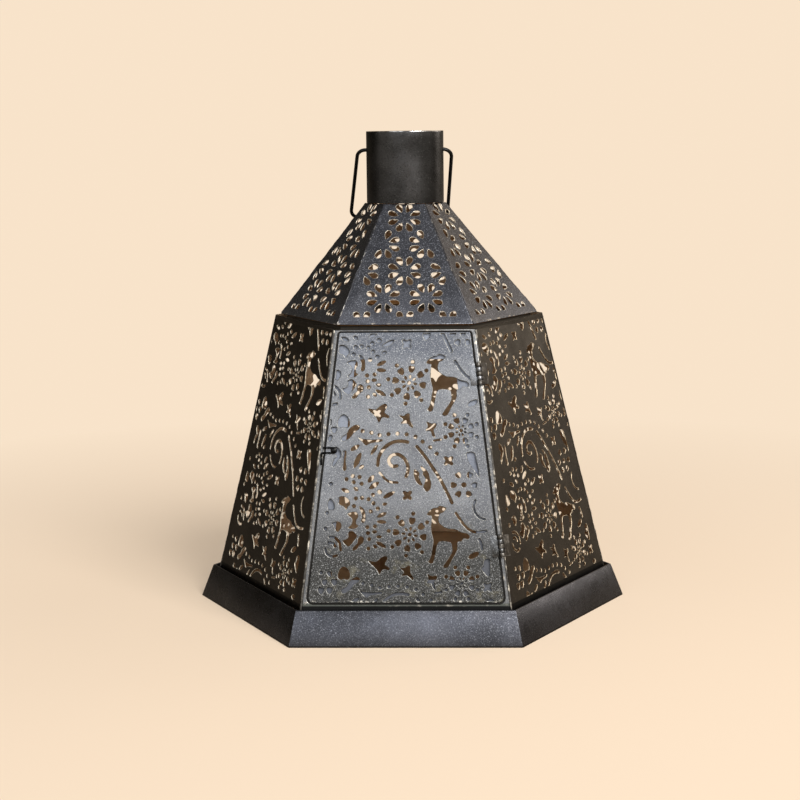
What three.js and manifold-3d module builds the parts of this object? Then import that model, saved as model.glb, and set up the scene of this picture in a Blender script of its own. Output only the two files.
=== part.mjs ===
// A six-sided pierced tin lantern with a sloping roof, a flue tube, a bail handle and a hinged door.
// Millimetres, +Z up. The origin is the centre of the underside, and the door faces -Y.

import * as THREE from "three";
import { mergeVertices } from "three/addons/utils/BufferGeometryUtils.js";
import Module from "manifold-3d";

const wasm = await Module();
wasm.setup();

// Clearances
const seatGap = 0.3;          // between two pieces that are soldered or rest on each other
const seamGap = 0.3;          // between two panels that meet at a corner
const doorGap = 1.0;          // all round the door leaf, inside the frame's lip
const knuckleGap = 0.3;       // between two hinge knuckles
const pinGap = 0.3;           // round a hinge pin
const wireHoleGap = 0.4;      // round the bail wire in the flue tube
const hookGap = 0.4;          // round the hook's pivot and beside its peg
const footRoom = 0.1;         // more room where a leaning side stands on the floor
const frameRoom = 0.1;        // more room beside the door frame, which is deeper than a side panel

// Sheet thicknesses
const plinthSheet = 0.8;
const floorSheet = 1.0;
const panelSheet = 0.8;
const roofSheet = 0.8;
const flueSheet = 0.9;
const eaveSheet = 0.8;
const cupSheet = 0.6;
const hingeSheet = 0.6;

// Plinth: a flared skirt with a folded top edge and an inward foot flange, and a floor let into it.
// A corner radius is the distance from the middle axis to a corner of the hexagon.
const plinthFootRadius = 140.2;
const plinthTopRadius = 131.6;
const plinthHeight = 21.2;
const hemDepth = 3.6;
const footFlangeWidth = 7.0;
const trayDepth = 4.0;
const trayMargin = 3.7;

// Body: six sloping sides on the floor, the front one taken by the door
const bodyHeadRadius = 86.8;
const bodyHeight = 168.0;

// Roof and the recessed ring that carries it
const eaveOpening = 3.0;
const eaveStep = 3.5;
const roofHeight = 69.6;
const eaveLap = 3.4;

// Flue tube and bail
const flueRadius = 24.7;
const flueHeight = 46.3;
const roofTopMargin = 1.5;
const bailPivotRise = 34.5;
const bailWireRadius = 1.0;
const bailLength = 54.7;
const bailSideReach = 5.4;
const bailSkew = 4.2;
const bailSplay = 0.6;
const bailBend = 4.5;
const bailTipLength = 4.0;

// Door frame and door leaf, on the front side
const lipWidth = 2.9;
const lipFootWidth = 6.0;
const lipHeadWidth = 1.4;
const frameDepth = 1.9;
const openingSideInset = 15.5;
const openingFootInset = 21.9;
const openingHeadInset = 17.9;
const openingCornerRadius = 4.0;
const doorFootCornerRadius = 3.0;
const doorHeadCornerRadius = 1.2;

// Butt hinges on the door's right edge
const hingeInset = 1.7;
const hingeBarrelRadius = 1.6;
const hingePinRadius = 0.55;
const hingeLength = 13.0;
const hingeLeafWidth = 4.2;
const hingeWrapWidth = 5.6;
const hingeKnuckles = 5;
const hingeLowerRise = 40.9;
const hingeHeadInset = 27.2;
const pinHeadRadius = 1.0;
const pinHeadLength = 0.5;

// Hook latch on the door's left edge
const latchRise = 98.7;
const latchWireRadius = 0.5;
const hookPivotInset = 9.0;
const hookEyeRadius = 1.5;
const hookReach = 7.6;
const hookDrop = 8.7;
const hookBend = 1.2;
const pivotFlangeRadius = 2.0;
const pivotHeadRadius = 1.7;
const pivotHeadThickness = 0.6;
const keeperRise = 14.7;
const keeperPegLength = 3.4;
const keeperBend = 0.9;

// Candle cup, riveted to the middle of the floor. The rivet's upper head is countersunk, so that a candle
// stands flat on the cup's floor.
const cupRadius = 21.0;
const cupHeight = 13.0;
const rivetRadius = 1.5;
const rivetHeadRadius = 3.2;
const rivetHeadThickness = 1.0;
const countersunkRadius = 2.4;
const countersinkGap = 0.5;   // across the sloping seat of the countersunk head
const headSink = 0.05;        // how far the countersunk head lies below the cup's floor
const headTaper = 0.7;        // the flat top of a rivet's or pivot's head, as a share of its radius

// Piercing. Each side is cut from the same repeating sheet, and so are the six roof panels.
const patternFoot = 4.2;
const patternPitch = 91.6;
const patternMargin = 2.6;
const roofPatternMargin = 3.0;
const rosetteAcross = 26.3;
const rosetteUp = 19.3;
const rosetteFoot = -0.7;
const rosetteInner = 4.4;
const rosetteOuter = 10.6;
const rosettePetalWidth = 3.7;
const rosetteTilt = Math.PI / 8;
const daisyPetals = 8;
const daisyTilt = -Math.PI / 18;

// How finely round shapes are divided
const flueSegments = 40;
const cupSegments = 24;
const boreSegments = 12;
const barrelSegments = 10;
const rivetSegments = 10;
const pinSegments = 8;
const bailSides = 8;
const bailBendSteps = 4;
const latchWireSides = 6;
const latchBendSteps = 3;
const hookEyeSteps = 6;
const cornerSteps = 3;
const cutterExcess = 4;       // a cutter is this many times longer than what it goes through
const mergeDistance = 1e-4;

const sixth = Math.PI / 3;
const cornerToFlat = Math.cos(sixth / 2);
const backAzimuth = Math.PI / 2;

// Heights that follow from the sizes above
const floorTop = plinthHeight - trayDepth;
const floorUnderside = floorTop - floorSheet;
const bodyFoot = floorTop + seatGap + footRoom;
const bodyFootRadius = plinthTopRadius - trayMargin;
const bodyHead = bodyFoot + bodyHeight;
const roofFoot = bodyHead + eaveOpening;
const roofFootRadius = bodyHeadRadius - eaveStep;
const roofTop = roofFoot + roofHeight;
const roofTopRadius = flueRadius + roofTopMargin;
const flueFoot = roofTop + seatGap;
const flueTop = flueFoot + flueHeight;
const bailPivotHeight = flueFoot + bailPivotRise;

// A six-sided sloping wall: how far it leans, how long its face is, and how its sides close in.
function slopingSide(footRadius, footHeight, headRadius, headHeight, sheet) {
  const rise = headHeight - footHeight;
  const lean = Math.atan2((footRadius - headRadius) * cornerToFlat, rise);
  const length = rise / Math.cos(lean);
  const footHalf = footRadius / 2;
  const headHalf = headRadius / 2;
  const edgeTilt = Math.atan2(footHalf - headHalf, length);
  const turn = Math.acos(Math.cos(lean) ** 2 / 2 + Math.sin(lean) ** 2);
  const edgeInset = sheet * Math.tan(turn / 2) + seamGap / 2;
  const sheetAcross = sheet / Math.cos(lean) / cornerToFlat;
  const radiusAt = (z) => footRadius + (headRadius - footRadius) * (z - footHeight) / rise;
  return {
    footRadius, footHeight, lean, length, footHalf, headHalf, edgeTilt, turn, edgeInset, sheetAcross, radiusAt,
  };
}

const skirtSide = slopingSide(plinthFootRadius, 0, plinthTopRadius, plinthHeight, plinthSheet);
const bodySide = slopingSide(bodyFootRadius, bodyFoot, bodyHeadRadius, bodyHead, panelSheet);
const roofSide = slopingSide(roofFootRadius, roofFoot, roofTopRadius, roofTop, roofSheet);

// Finishes: worn black paint over tin, bare inner metal, and wire
const outerPaint = { color: 0x3c4048, roughness: 0.5, metalness: 0.6 };
const plinthPaint = { color: 0x34373f, roughness: 0.45, metalness: 0.6 };
const roofPaint = { color: 0x2c2f38, roughness: 0.5, metalness: 0.6 };
const fluePaint = { color: 0x2a2723, roughness: 0.4, metalness: 0.7 };
const innerMetal = { color: 0x6b4630, roughness: 0.7, metalness: 0.5 };
const wireMetal = { color: 0x1c1a18, roughness: 0.4, metalness: 0.8 };
const hingeMetal = { color: 0x5a5a5c, roughness: 0.4, metalness: 0.8 };

function piece(name, geometry, finish) {
  const mesh = new THREE.Mesh(geometry, new THREE.MeshStandardMaterial(finish));
  mesh.name = name;
  return mesh;
}

// Puts a group's own plane on one face of a sloping side: X across, Y up the slope, Z outwards.
function faceGroup(side, azimuth) {
  const turned = new THREE.Group();
  turned.rotation.z = azimuth + Math.PI / 2;
  const tilted = new THREE.Group();
  tilted.position.set(0, -side.footRadius * cornerToFlat, side.footHeight);
  tilted.rotation.x = Math.PI / 2 - side.lean;
  turned.add(tilted);
  return { turned, tilted };
}

// Joins and cuts closed solids
function solidOf(geometry) {
  const bare = geometry.clone();
  bare.deleteAttribute("normal");
  bare.deleteAttribute("uv");
  const merged = mergeVertices(bare, mergeDistance);
  const vertProperties = new Float32Array(merged.attributes.position.array);
  const triVerts = new Uint32Array(merged.index.array);
  return new wasm.Manifold(new wasm.Mesh({ numProp: 3, vertProperties, triVerts }));
}

function geometryOf(solid) {
  const mesh = solid.getMesh();
  const geometry = new THREE.BufferGeometry();
  geometry.setAttribute("position", new THREE.BufferAttribute(new Float32Array(mesh.vertProperties), 3));
  geometry.setIndex(new THREE.BufferAttribute(new Uint32Array(mesh.triVerts), 1));
  geometry.computeVertexNormals();
  return geometry;
}

function joined(geometries) {
  return geometries.map(solidOf).reduce((whole, next) => whole.add(next));
}

// A ring or cup turned from a profile of [radius, height] points, about Z. Six segments give a hexagon
// whose corners lie on the X axis, and the profile's radii are then its corner radii.
function turned(profile, segments) {
  const points = profile.map(([r, z]) => new THREE.Vector2(r, z));
  if (THREE.ShapeUtils.area(points) < 0) points.reverse();
  const first = segments === 6 ? sixth / 2 : 0;
  const closed = profile.every(([r]) => r > 0) ? [...points, points[0].clone()] : points;
  const geometry = new THREE.LatheGeometry(closed, segments, first, 2 * Math.PI);
  return geometry.rotateX(Math.PI / 2);
}

// A wire along hand-placed points, with one section at each point, mitred between its neighbours
class WireRoute extends THREE.Curve {
  constructor(points) {
    super();
    this.points = points;
  }
  getPoint(t) {
    return this.points[Math.round(t * (this.points.length - 1))].clone();
  }
  getSpacedPoints() {
    return this.points.map((point) => point.clone());
  }
  getTangentAt(u) {
    const last = this.points.length - 1;
    const at = Math.round(u * last);
    const before = this.points[Math.max(at - 1, 0)];
    const after = this.points[Math.min(at + 1, last)];
    return after.clone().sub(before).normalize();
  }
}

function wire(points, radius, sides) {
  const section = new THREE.Shape(ringPoints(0, 0, radius, sides));
  const route = new WireRoute(points);
  const steps = points.length - 1;
  return new THREE.ExtrudeGeometry(section, { steps, extrudePath: route, bevelEnabled: false });
}

// Rounds the inner corners of a route with short arcs of the given bend radius
function bentRoute(corners, bend, steps) {
  const route = [corners[0]];
  for (let i = 1; i < corners.length - 1; i += 1) {
    const toBefore = corners[i - 1].clone().sub(corners[i]).normalize();
    const toAfter = corners[i + 1].clone().sub(corners[i]).normalize();
    const half = toBefore.angleTo(toAfter) / 2;
    const back = bend / Math.tan(half);
    const inwards = toBefore.clone().add(toAfter).normalize();
    const middle = inwards.multiplyScalar(bend / Math.sin(half)).add(corners[i]);
    const start = corners[i].clone().addScaledVector(toBefore, back).sub(middle);
    const end = corners[i].clone().addScaledVector(toAfter, back).sub(middle);
    const sweep = Math.PI - 2 * half;
    const across = end.clone().addScaledVector(start, -Math.cos(sweep)).divideScalar(Math.sin(sweep));
    for (let k = 0; k <= steps; k += 1) {
      const angle = sweep * k / steps;
      const arm = start.clone().multiplyScalar(Math.cos(angle)).addScaledVector(across, Math.sin(angle));
      route.push(arm.add(middle));
    }
  }
  route.push(corners[corners.length - 1]);
  return route;
}

// Flat outlines, all counter-clockwise, as lists of points
function ringPoints(x, y, radius, count, start = 0) {
  return Array.from({ length: count }, (_, k) => {
    const angle = start + 2 * Math.PI * k / count;
    return new THREE.Vector2(x + radius * Math.cos(angle), y + radius * Math.sin(angle));
  });
}

// A trapezoid inside a sloping side's face: inset from the slanted edges, between two heights
function trapezoid(side, inset, low, high) {
  const across = inset / Math.cos(side.edgeTilt);
  const halfAt = (y) => side.footHalf - y * Math.tan(side.edgeTilt) - across;
  return [
    new THREE.Vector2(-halfAt(low), low), new THREE.Vector2(halfAt(low), low),
    new THREE.Vector2(halfAt(high), high), new THREE.Vector2(-halfAt(high), high),
  ];
}

// Rounds the corners of an outline, one radius to each corner, with the given arc steps
function rounded(corners, radii, steps) {
  const points = [];
  corners.forEach((corner, i) => {
    const before = corners[(i + corners.length - 1) % corners.length].clone().sub(corner).normalize();
    const after = corners[(i + 1) % corners.length].clone().sub(corner).normalize();
    const half = Math.acos(before.dot(after)) / 2;
    const inwards = before.clone().add(after).normalize();
    const middle = inwards.multiplyScalar(radii[i] / Math.sin(half)).add(corner);
    const start = corner.clone().addScaledVector(before, radii[i] / Math.tan(half)).sub(middle);
    const sweep = Math.PI - 2 * half;
    for (let k = 0; k <= steps; k += 1) {
      points.push(start.clone().rotateAround(new THREE.Vector2(), sweep * k / steps).add(middle));
    }
  });
  return points;
}

// A flat sheet with holes, its outer face at Z = top
function sheetPlate(outline, holes, thickness, top = 0) {
  const shape = new THREE.Shape(outline);
  shape.holes = holes.map((hole) => new THREE.Path(hole));
  const geometry = new THREE.ExtrudeGeometry(shape, { depth: thickness, bevelEnabled: false });
  return geometry.translate(0, 0, top - thickness);
}

// Keeps the holes that lie wholly inside an outline, a margin away from its edges
function insideOutline(holes, outline, margin) {
  const clear = (point) => outline.every((from, i) => {
    const along = outline[(i + 1) % outline.length].clone().sub(from).normalize();
    const off = point.clone().sub(from);
    return along.x * off.y - along.y * off.x > margin;
  });
  return holes.filter((hole) => hole.every(clear));
}

function moved(outline, x, y) {
  return outline.map(([px, py]) => new THREE.Vector2(px + x, py + y));
}

// A petal that points at (x, y), cut as a wedge with its wide end outwards
function petal(x, y, angle, inner, outer, width) {
  const marks = [[inner, 0], [outer, -width / 2], [outer, width / 2]];
  return marks.map(([along, across]) => new THREE.Vector2(along, across)
    .rotateAround(new THREE.Vector2(), angle)
    .add(new THREE.Vector2(x, y)));
}

// A leaf-shaped hole, pointed at both ends
function leaf(x, y, angle) {
  const marks = [[-leafLength / 2, 0], [0, -leafWidth / 2], [leafLength / 2, 0], [0, leafWidth / 2]];
  return marks.map(([along, across]) => new THREE.Vector2(along, across)
    .rotateAround(new THREE.Vector2(), angle)
    .add(new THREE.Vector2(x, y)));
}

function petalRing({ x, y, inner, outer, width }, start, count = daisyPetals) {
  return Array.from({ length: count }, (_, k) => {
    return petal(x, y, start + 2 * Math.PI * k / count, inner, outer, width);
  });
}

// A narrow slot of even width along a bent line
function slot(line, width) {
  const points = line.map(([x, y]) => new THREE.Vector2(x, y));
  const normals = points.map((point, i) => {
    const from = points[Math.max(i - 1, 0)];
    const to = points[Math.min(i + 1, points.length - 1)];
    const along = to.clone().sub(from).normalize();
    return new THREE.Vector2(-along.y, along.x).multiplyScalar(width / 2);
  });
  const left = points.map((point, i) => point.clone().add(normals[i]));
  const right = points.map((point, i) => point.clone().sub(normals[i]));
  return [...right, ...left.reverse()];
}

// The deer stands with its head up, facing left. Points run round it from the nose.
const deerOutline = [
  [13.1, 56.0], [16.1, 54.4], [15.6, 44.5], [16.9, 39.9], [13.6, 27.0],
  [16.4, 26.6], [20.3, 39.3], [26.4, 39.1], [28.0, 34.0], [22.8, 24.4],
  [25.3, 23.9], [31.0, 34.0], [31.2, 39.2], [38.3, 41.8], [36.5, 44.6],
  [29.0, 46.8], [20.4, 50.6], [20.6, 56.1], [24.4, 59.7], [20.4, 60.6],
];

// A small bird with spread wings and a forked tail
const birdOutline = [
  [-3.8, 24.2], [-2.0, 19.2], [1.0, 18.8], [4.2, 17.2], [2.3, 20.6], [2.4, 24.6],
];
const birdPlaces = [[0, 0], [-16.2, 4.6], [14.9, -5.8]];
const daisy = { x: 2.6, y: 43.8, inner: 5.6, outer: 10.0, width: 4.2 };
const smallDaisy = { x: 33.8, y: 14.6, inner: 4.0, outer: 7.6, width: 3.1 };
const daisyHeartRadius = 1.5;
const daisyHeartSides = 5;
const longStroke = [[10.6, 92.4], [19.0, 80.0], [28.4, 63.2]];
const shortStroke = [[29.9, 56.8], [34.0, 50.2], [41.2, 45.8]];
const rightStroke = [[42.2, 63.6], [42.2, 57.2], [47.4, 53.0]];
const leftStroke = [[-45.6, 42.2], [-41.0, 40.4], [-39.3, 34.8]];
const leafPlaces = [
  [-14.4, 54.6, 0.3], [-19.0, 73.4, 0.7], [-28.9, 88.4, 1.1], [-9.9, 67.6, 0.5], [-36.2, 70.3, -0.4],
  [-14.4, 50.4, 0.0], [-14.7, 37.6, -0.5], [-21.1, 78.4, 0.9], [-30.4, 96.0, 0.5], [-18.8, 94.8, 0.9],
];
const dotPlaces = [
  [-25.7, 14.6], [-20.4, 13.5], [-15.5, 12.0], [-10.1, 12.6], [-4.6, 12.9], [0.9, 12.4], [6.2, 10.9],
  [10.5, 7.9], [15.1, 4.5],
];
const dotRadius = 1.3;
const dotSides = 4;
const leafLength = 6.0;
const leafWidth = 2.8;
const blossomPlaces = [[1.0, 67.5], [25.9, 87.1], [49.2, 12.1]];
const blossomRadius = 3.0;
const blossomPetals = 4;
const heartRing = { x: 35.3, y: 73.4, inner: 4.4, outer: 7.8, width: 2.8 };
const heartRingPetals = 6;

// The larger leaves, scrolls and wings, each a plain outline
const scrollOutlines = [
  [[-40.9, 20.0], [-39.0, 18.0], [-34.3, 17.8], [-32.9, 20.2], [-37.8, 24.7]],
  [[-38.4, 9.6], [-36.3, 8.8], [-32.8, 11.2], [-28.1, 16.2], [-30.2, 17.9], [-35.0, 13.2]],
  [[-26.8, 9.0], [-23.5, 6.3], [-14.6, 8.3], [-14.6, 9.2], [-25.6, 9.5]],
  [[-40.5, 64.2], [-39.7, 62.2], [-35.9, 59.2], [-33.6, 62.3], [-36.9, 66.4]],
  [[-46.8, 62.0], [-45.1, 59.0], [-42.9, 60.5], [-45.4, 65.2]],
  [[-34.2, 48.0], [-28.9, 49.0], [-29.9, 52.6], [-29.0, 56.2], [-34.3, 55.7], [-32.1, 52.0]],
  [[-26.4, 51.8], [-25.1, 51.3], [-24.5, 56.9], [-27.4, 60.2], [-26.2, 56.0]],
  [[-44.0, 50.5], [-42.8, 47.6], [-41.2, 45.7], [-38.9, 48.9], [-41.9, 51.4]],
  [[-37.6, 40.2], [-36.4, 37.5], [-33.7, 37.3], [-29.8, 42.8], [-32.0, 45.5]],
  [[-31.8, 34.6], [-29.7, 35.2], [-25.8, 40.0], [-27.3, 42.4], [-28.9, 39.2]],
  [[5.5, 82.2], [5.5, 78.0], [8.4, 73.9], [9.6, 74.5], [8.2, 80.5]],
  [[9.4, 84.4], [12.1, 77.9], [11.0, 72.4], [13.0, 69.7], [15.2, 74.0], [13.6, 80.8]],
  [[37.0, 92.0], [38.7, 86.8], [44.0, 79.2], [42.4, 89.5], [40.5, 92.9]],
  [[45.6, 23.4], [47.9, 20.2], [50.1, 18.8], [50.5, 27.7], [48.0, 28.8]],
  [[38.1, 29.4], [40.9, 29.3], [43.9, 32.6], [40.7, 32.8]],
  [[-37.8, 84.6], [-36.7, 82.8], [-35.8, 93.6], [-37.5, 93.4]],
  [[-42.9, 95.2], [-41.4, 91.0], [-43.7, 86.0], [-39.0, 92.0], [-41.3, 96.3]],
];
const spiralPlace = [-4.6, 87.6];
const spiralTurns = 1.15;
const spiralRadius = 11.6;
const spiralInnerRadius = 4.4;
const spiralSteps = 11;
const spiralStart = -0.2;
const strokeWidth = 1.7;

function spiralLine(steps) {
  return Array.from({ length: steps + 1 }, (_, k) => {
    const part = k / steps;
    const angle = spiralStart + 2 * Math.PI * spiralTurns * part;
    const radius = spiralRadius + (spiralInnerRadius - spiralRadius) * part;
    return [spiralPlace[0] + radius * Math.cos(angle), spiralPlace[1] + radius * Math.sin(angle)];
  });
}

function patternRepeat() {
  return [
    moved(deerOutline, 0, 0),
    ...birdPlaces.map(([x, y]) => moved(birdOutline, x, y)),
    ringPoints(daisy.x, daisy.y, daisyHeartRadius, daisyHeartSides),
    ...petalRing(daisy, daisyTilt),
    ...petalRing(smallDaisy, daisyTilt),
    ...petalRing(heartRing, 0, heartRingPetals),
    ...scrollOutlines.map((outline) => moved(outline, 0, 0)),
    slot(longStroke, strokeWidth),
    slot(shortStroke, strokeWidth),
    slot(rightStroke, strokeWidth),
    slot(leftStroke, strokeWidth),
    ...leafPlaces.map(([x, y, angle]) => leaf(x, y, angle)),
    ...blossomPlaces.map(([x, y]) => ringPoints(x, y, blossomRadius, blossomPetals, sixth / 4)),
    ...dotPlaces.map(([x, y]) => ringPoints(x, y, dotRadius, dotSides)),
  ];
}

function sideHoles(outline) {
  const raised = (hole, rise) => hole.map((point) => new THREE.Vector2(point.x, point.y + rise));
  const repeats = Math.ceil(bodySide.length / patternPitch);
  const holes = [raised(slot(spiralLine(spiralSteps), strokeWidth), patternFoot)];
  for (let k = 0; k < repeats; k += 1) {
    const rise = patternFoot + k * patternPitch;
    holes.push(...patternRepeat().map((hole) => raised(hole, rise)));
  }
  return insideOutline(holes, outline, patternMargin);
}

// Rows of rosettes, each row shifted by half a step from the one below
function roofHoles(outline) {
  const rows = Math.ceil(roofSide.length / rosetteUp) + 1;
  const columns = Math.ceil(roofSide.footHalf / rosetteAcross);
  const rosette = { inner: rosetteInner, outer: rosetteOuter, width: rosettePetalWidth };
  const holes = [];
  for (let row = 0; row < rows; row += 1) {
    const shift = row % 2 === 0 ? 0 : rosetteAcross / 2;
    for (let column = -columns; column <= columns; column += 1) {
      const x = column * rosetteAcross + shift;
      const y = rosetteFoot + row * rosetteUp;
      holes.push(...petalRing({ x, y, ...rosette }, rosetteTilt));
    }
  }
  return insideOutline(holes, outline, roofPatternMargin);
}

// Plinth skirt: flared wall, top edge folded in and down, foot flange turned in
function plinthSkirt() {
  const outer = (z) => skirtSide.radiusAt(z);
  const wall = skirtSide.sheetAcross;
  const hemFoot = plinthHeight - hemDepth;
  return turned([
    [outer(0), 0], [outer(plinthHeight), plinthHeight], [outer(plinthHeight) - 2 * wall, plinthHeight],
    [outer(hemFoot) - 2 * wall, hemFoot], [outer(hemFoot) - wall, hemFoot],
    [outer(plinthSheet) - wall, plinthSheet], [outer(0) - footFlangeWidth / cornerToFlat, plinthSheet],
    [outer(0) - footFlangeWidth / cornerToFlat, 0],
  ], 6);
}

function floorPlate() {
  const seat = skirtSide.sheetAcross + seatGap / cornerToFlat;
  const lowRadius = skirtSide.radiusAt(floorUnderside) - seat;
  const highRadius = skirtSide.radiusAt(floorTop) - seat;
  const hole = rivetRadius + seatGap;
  const profile = [[0, floorUnderside], [lowRadius, floorUnderside], [highRadius, floorTop], [0, floorTop]];
  const drill = new THREE.CylinderGeometry(hole, hole, cutterExcess * floorSheet, boreSegments);
  drill.rotateX(Math.PI / 2).translate(0, 0, floorUnderside);
  return geometryOf(solidOf(turned(profile, 6)).subtract(solidOf(drill)));
}

const cupFoot = floorTop + seatGap;
const cupInside = cupFoot + cupSheet;

function candleCup() {
  const lowHole = rivetRadius + countersinkGap;
  const highHole = countersunkRadius + countersinkGap;
  return turned([
    [lowHole, cupFoot], [cupRadius, cupFoot], [cupRadius, cupFoot + cupHeight],
    [cupRadius - cupSheet, cupFoot + cupHeight], [cupRadius - cupSheet, cupInside], [highHole, cupInside],
  ], cupSegments);
}

function cupRivet() {
  const seat = floorUnderside - seatGap;
  const top = cupInside - headSink;
  return turned([
    [0, seat - rivetHeadThickness], [rivetHeadRadius * headTaper, seat - rivetHeadThickness],
    [rivetHeadRadius, seat], [rivetRadius, seat], [rivetRadius, cupFoot], [countersunkRadius, top], [0, top],
  ], rivetSegments);
}

// Eave ring: a flange under the body's head and a collar that reaches up inside the roof. Its front
// flange is trimmed back, because the door frame is deeper than the other sides.
function eaveRing() {
  const flangeTop = bodyHead - panelSheet * Math.sin(bodySide.lean) - seatGap;
  const flangeFoot = flangeTop - eaveSheet;
  const bodyInner = bodySide.radiusAt(flangeTop) - bodySide.sheetAcross - seatGap / cornerToFlat;
  const collarTop = roofFoot + eaveLap;
  const collarRadius = roofSide.radiusAt(collarTop) - roofSide.sheetAcross - seatGap / cornerToFlat;
  const collarInner = collarRadius - eaveSheet / cornerToFlat;
  const ring = turned([
    [bodyInner, flangeFoot], [bodyInner, flangeTop], [collarRadius, flangeTop], [collarRadius, collarTop],
    [collarInner, collarTop], [collarInner, flangeFoot],
  ], 6);
  const frameFace = bodySide.radiusAt(flangeTop) * cornerToFlat;
  const frameBack = frameFace - frameDepth / Math.cos(bodySide.lean) - seatGap;
  const room = new THREE.BoxGeometry(2 * bodyInner, bodyInner, cutterExcess * eaveSheet);
  room.translate(0, -frameBack - bodyInner / 2, flangeTop);
  return geometryOf(solidOf(ring).subtract(solidOf(room)));
}

function flueTube() {
  const inner = flueRadius - flueSheet;
  const profile = [[flueRadius, flueFoot], [flueRadius, flueTop], [inner, flueTop], [inner, flueFoot]];
  const hole = bailWireRadius + wireHoleGap;
  const drill = new THREE.CylinderGeometry(hole, hole, cutterExcess * flueRadius, boreSegments);
  drill.rotateZ(Math.PI / 2).translate(0, 0, bailPivotHeight);
  return geometryOf(solidOf(turned(profile, flueSegments)).subtract(solidOf(drill)));
}

// The bail lies back until its cross bar rests on the rear roof panel. Its own plane holds the pivot
// axis, and this is the angle of that plane from straight down.
function bailRestAngle() {
  const lean = roofSide.lean;
  const flat = roofTopRadius * cornerToFlat;
  const rise = bailPivotHeight - roofTop;
  const off = bailWireRadius + seatGap + flat * Math.cos(lean) - rise * Math.sin(lean);
  return lean + Math.asin(off / bailLength);
}

function bailWire() {
  const inner = flueRadius - flueSheet - bailTipLength;
  const shoulder = flueRadius + bailSideReach;
  const foot = shoulder + bailSplay;
  const corners = [
    [-inner, 0], [-shoulder, 0], [-foot - bailSkew, -bailLength],
    [foot - bailSkew, -bailLength], [shoulder, 0], [inner, 0],
  ].map(([x, z]) => new THREE.Vector3(x, 0, z));
  return wire(bentRoute(corners, bailBend, bailBendSteps), bailWireRadius, bailSides);
}

// Outlines on the front face
const lipFoot = lipFootWidth;
const lipHead = bodySide.length - lipHeadWidth;
const doorSideInset = lipWidth + doorGap;
const doorFoot = lipFoot + doorGap;
const doorHead = lipHead - doorGap;
const doorCorners = [doorFootCornerRadius, doorFootCornerRadius, doorHeadCornerRadius, doorHeadCornerRadius];

function doorOutline() {
  return rounded(trapezoid(bodySide, doorSideInset, doorFoot, doorHead), doorCorners, cornerSteps);
}

function doorFrame() {
  const edge = bodySide.edgeInset + frameRoom;
  const outline = trapezoid(bodySide, edge, 0, bodySide.length);
  const lipRadii = doorCorners.map((radius) => radius + doorGap);
  const lipHole = rounded(trapezoid(bodySide, lipWidth, lipFoot, lipHead), lipRadii, cornerSteps);
  const openingHead = bodySide.length - openingHeadInset;
  const opening = trapezoid(bodySide, openingSideInset, openingFootInset, openingHead);
  const openingHole = rounded(opening, doorCorners.map(() => openingCornerRadius), cornerSteps);
  const lip = sheetPlate(outline, [lipHole], frameDepth);
  const flange = sheetPlate(outline, [openingHole], panelSheet, panelSheet - frameDepth);
  return geometryOf(joined([lip, flange]));
}

function pierced(outline, holesOf, sheet) {
  return sheetPlate(outline, holesOf(outline), sheet);
}

// Hinges. In a hinge's own group the pin runs along Y, X points across the face towards the corner
// and Z outwards, with the face at Z = 0.
const hingeProud = hingeBarrelRadius + seatGap;
const hingeBore = hingePinRadius + pinGap;
const knuckleLength = (hingeLength - (hingeKnuckles - 1) * knuckleGap) / hingeKnuckles;

function knuckleMiddle(index) {
  return (knuckleLength + knuckleGap) * (index - (hingeKnuckles - 1) / 2);
}

function barrel(radius, length, y) {
  return new THREE.CylinderGeometry(radius, radius, length, barrelSegments).translate(0, y, hingeProud);
}

// One leaf: a flat plate cut back round the other leaf's knuckles, with its own knuckles joined on
function hingeLeaf(plateAt, ownKnuckles, otherKnuckles) {
  let leaf = solidOf(plateAt(hingeLength, 0, false));
  for (const index of otherKnuckles) {
    const room = barrel(hingeBarrelRadius + pinGap, knuckleLength + 2 * knuckleGap, knuckleMiddle(index));
    leaf = leaf.subtract(solidOf(room));
  }
  for (const index of ownKnuckles) {
    leaf = leaf.add(solidOf(plateAt(knuckleLength, knuckleMiddle(index), true)));
    leaf = leaf.add(solidOf(barrel(hingeBarrelRadius, knuckleLength, knuckleMiddle(index))));
  }
  return geometryOf(leaf.subtract(solidOf(barrel(hingeBore, 2 * hingeLength, 0))));
}

function doorLeafPlate(length, y, bridge) {
  const from = -hingeBarrelRadius - hingeLeafWidth;
  const to = bridge ? -hingePinRadius : -hingeBarrelRadius - pinGap;
  return new THREE.BoxGeometry(to - from, length, hingeSheet)
    .translate((from + to) / 2, y, seatGap + hingeSheet / 2);
}

// The frame leaf lies on the neighbouring side, so its plate is turned round the corner line.
// The barrel's place is worked out along and off that side.
function frameLeafPlate(length, y, bridge) {
  const turn = bodySide.turn;
  const barrelAlong = -hingeInset * Math.cos(turn) - hingeProud * Math.sin(turn);
  const barrelOff = -hingeInset * Math.sin(turn) + hingeProud * Math.cos(turn);
  const reach = hingeBarrelRadius + pinGap;
  const low = seatGap - barrelOff;
  const clear = Math.sqrt(Math.max(reach * reach - low * low, 0));
  const from = bridge ? barrelAlong : barrelAlong + clear;
  const to = hingeWrapWidth;
  return new THREE.BoxGeometry(to - from, length, hingeSheet)
    .translate((from + to) / 2, y, seatGap + hingeSheet / 2)
    .rotateY(turn)
    .translate(hingeInset, 0, 0);
}

function hingePin() {
  const seat = hingeLength / 2 + knuckleGap;
  const end = seat + pinHeadLength;
  return turned([
    [0, -end], [pinHeadRadius, -end], [pinHeadRadius, -seat], [hingePinRadius, -seat],
    [hingePinRadius, seat], [pinHeadRadius, seat], [pinHeadRadius, end], [0, end],
  ], pinSegments).rotateX(-Math.PI / 2).translate(0, 0, hingeProud);
}

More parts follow.
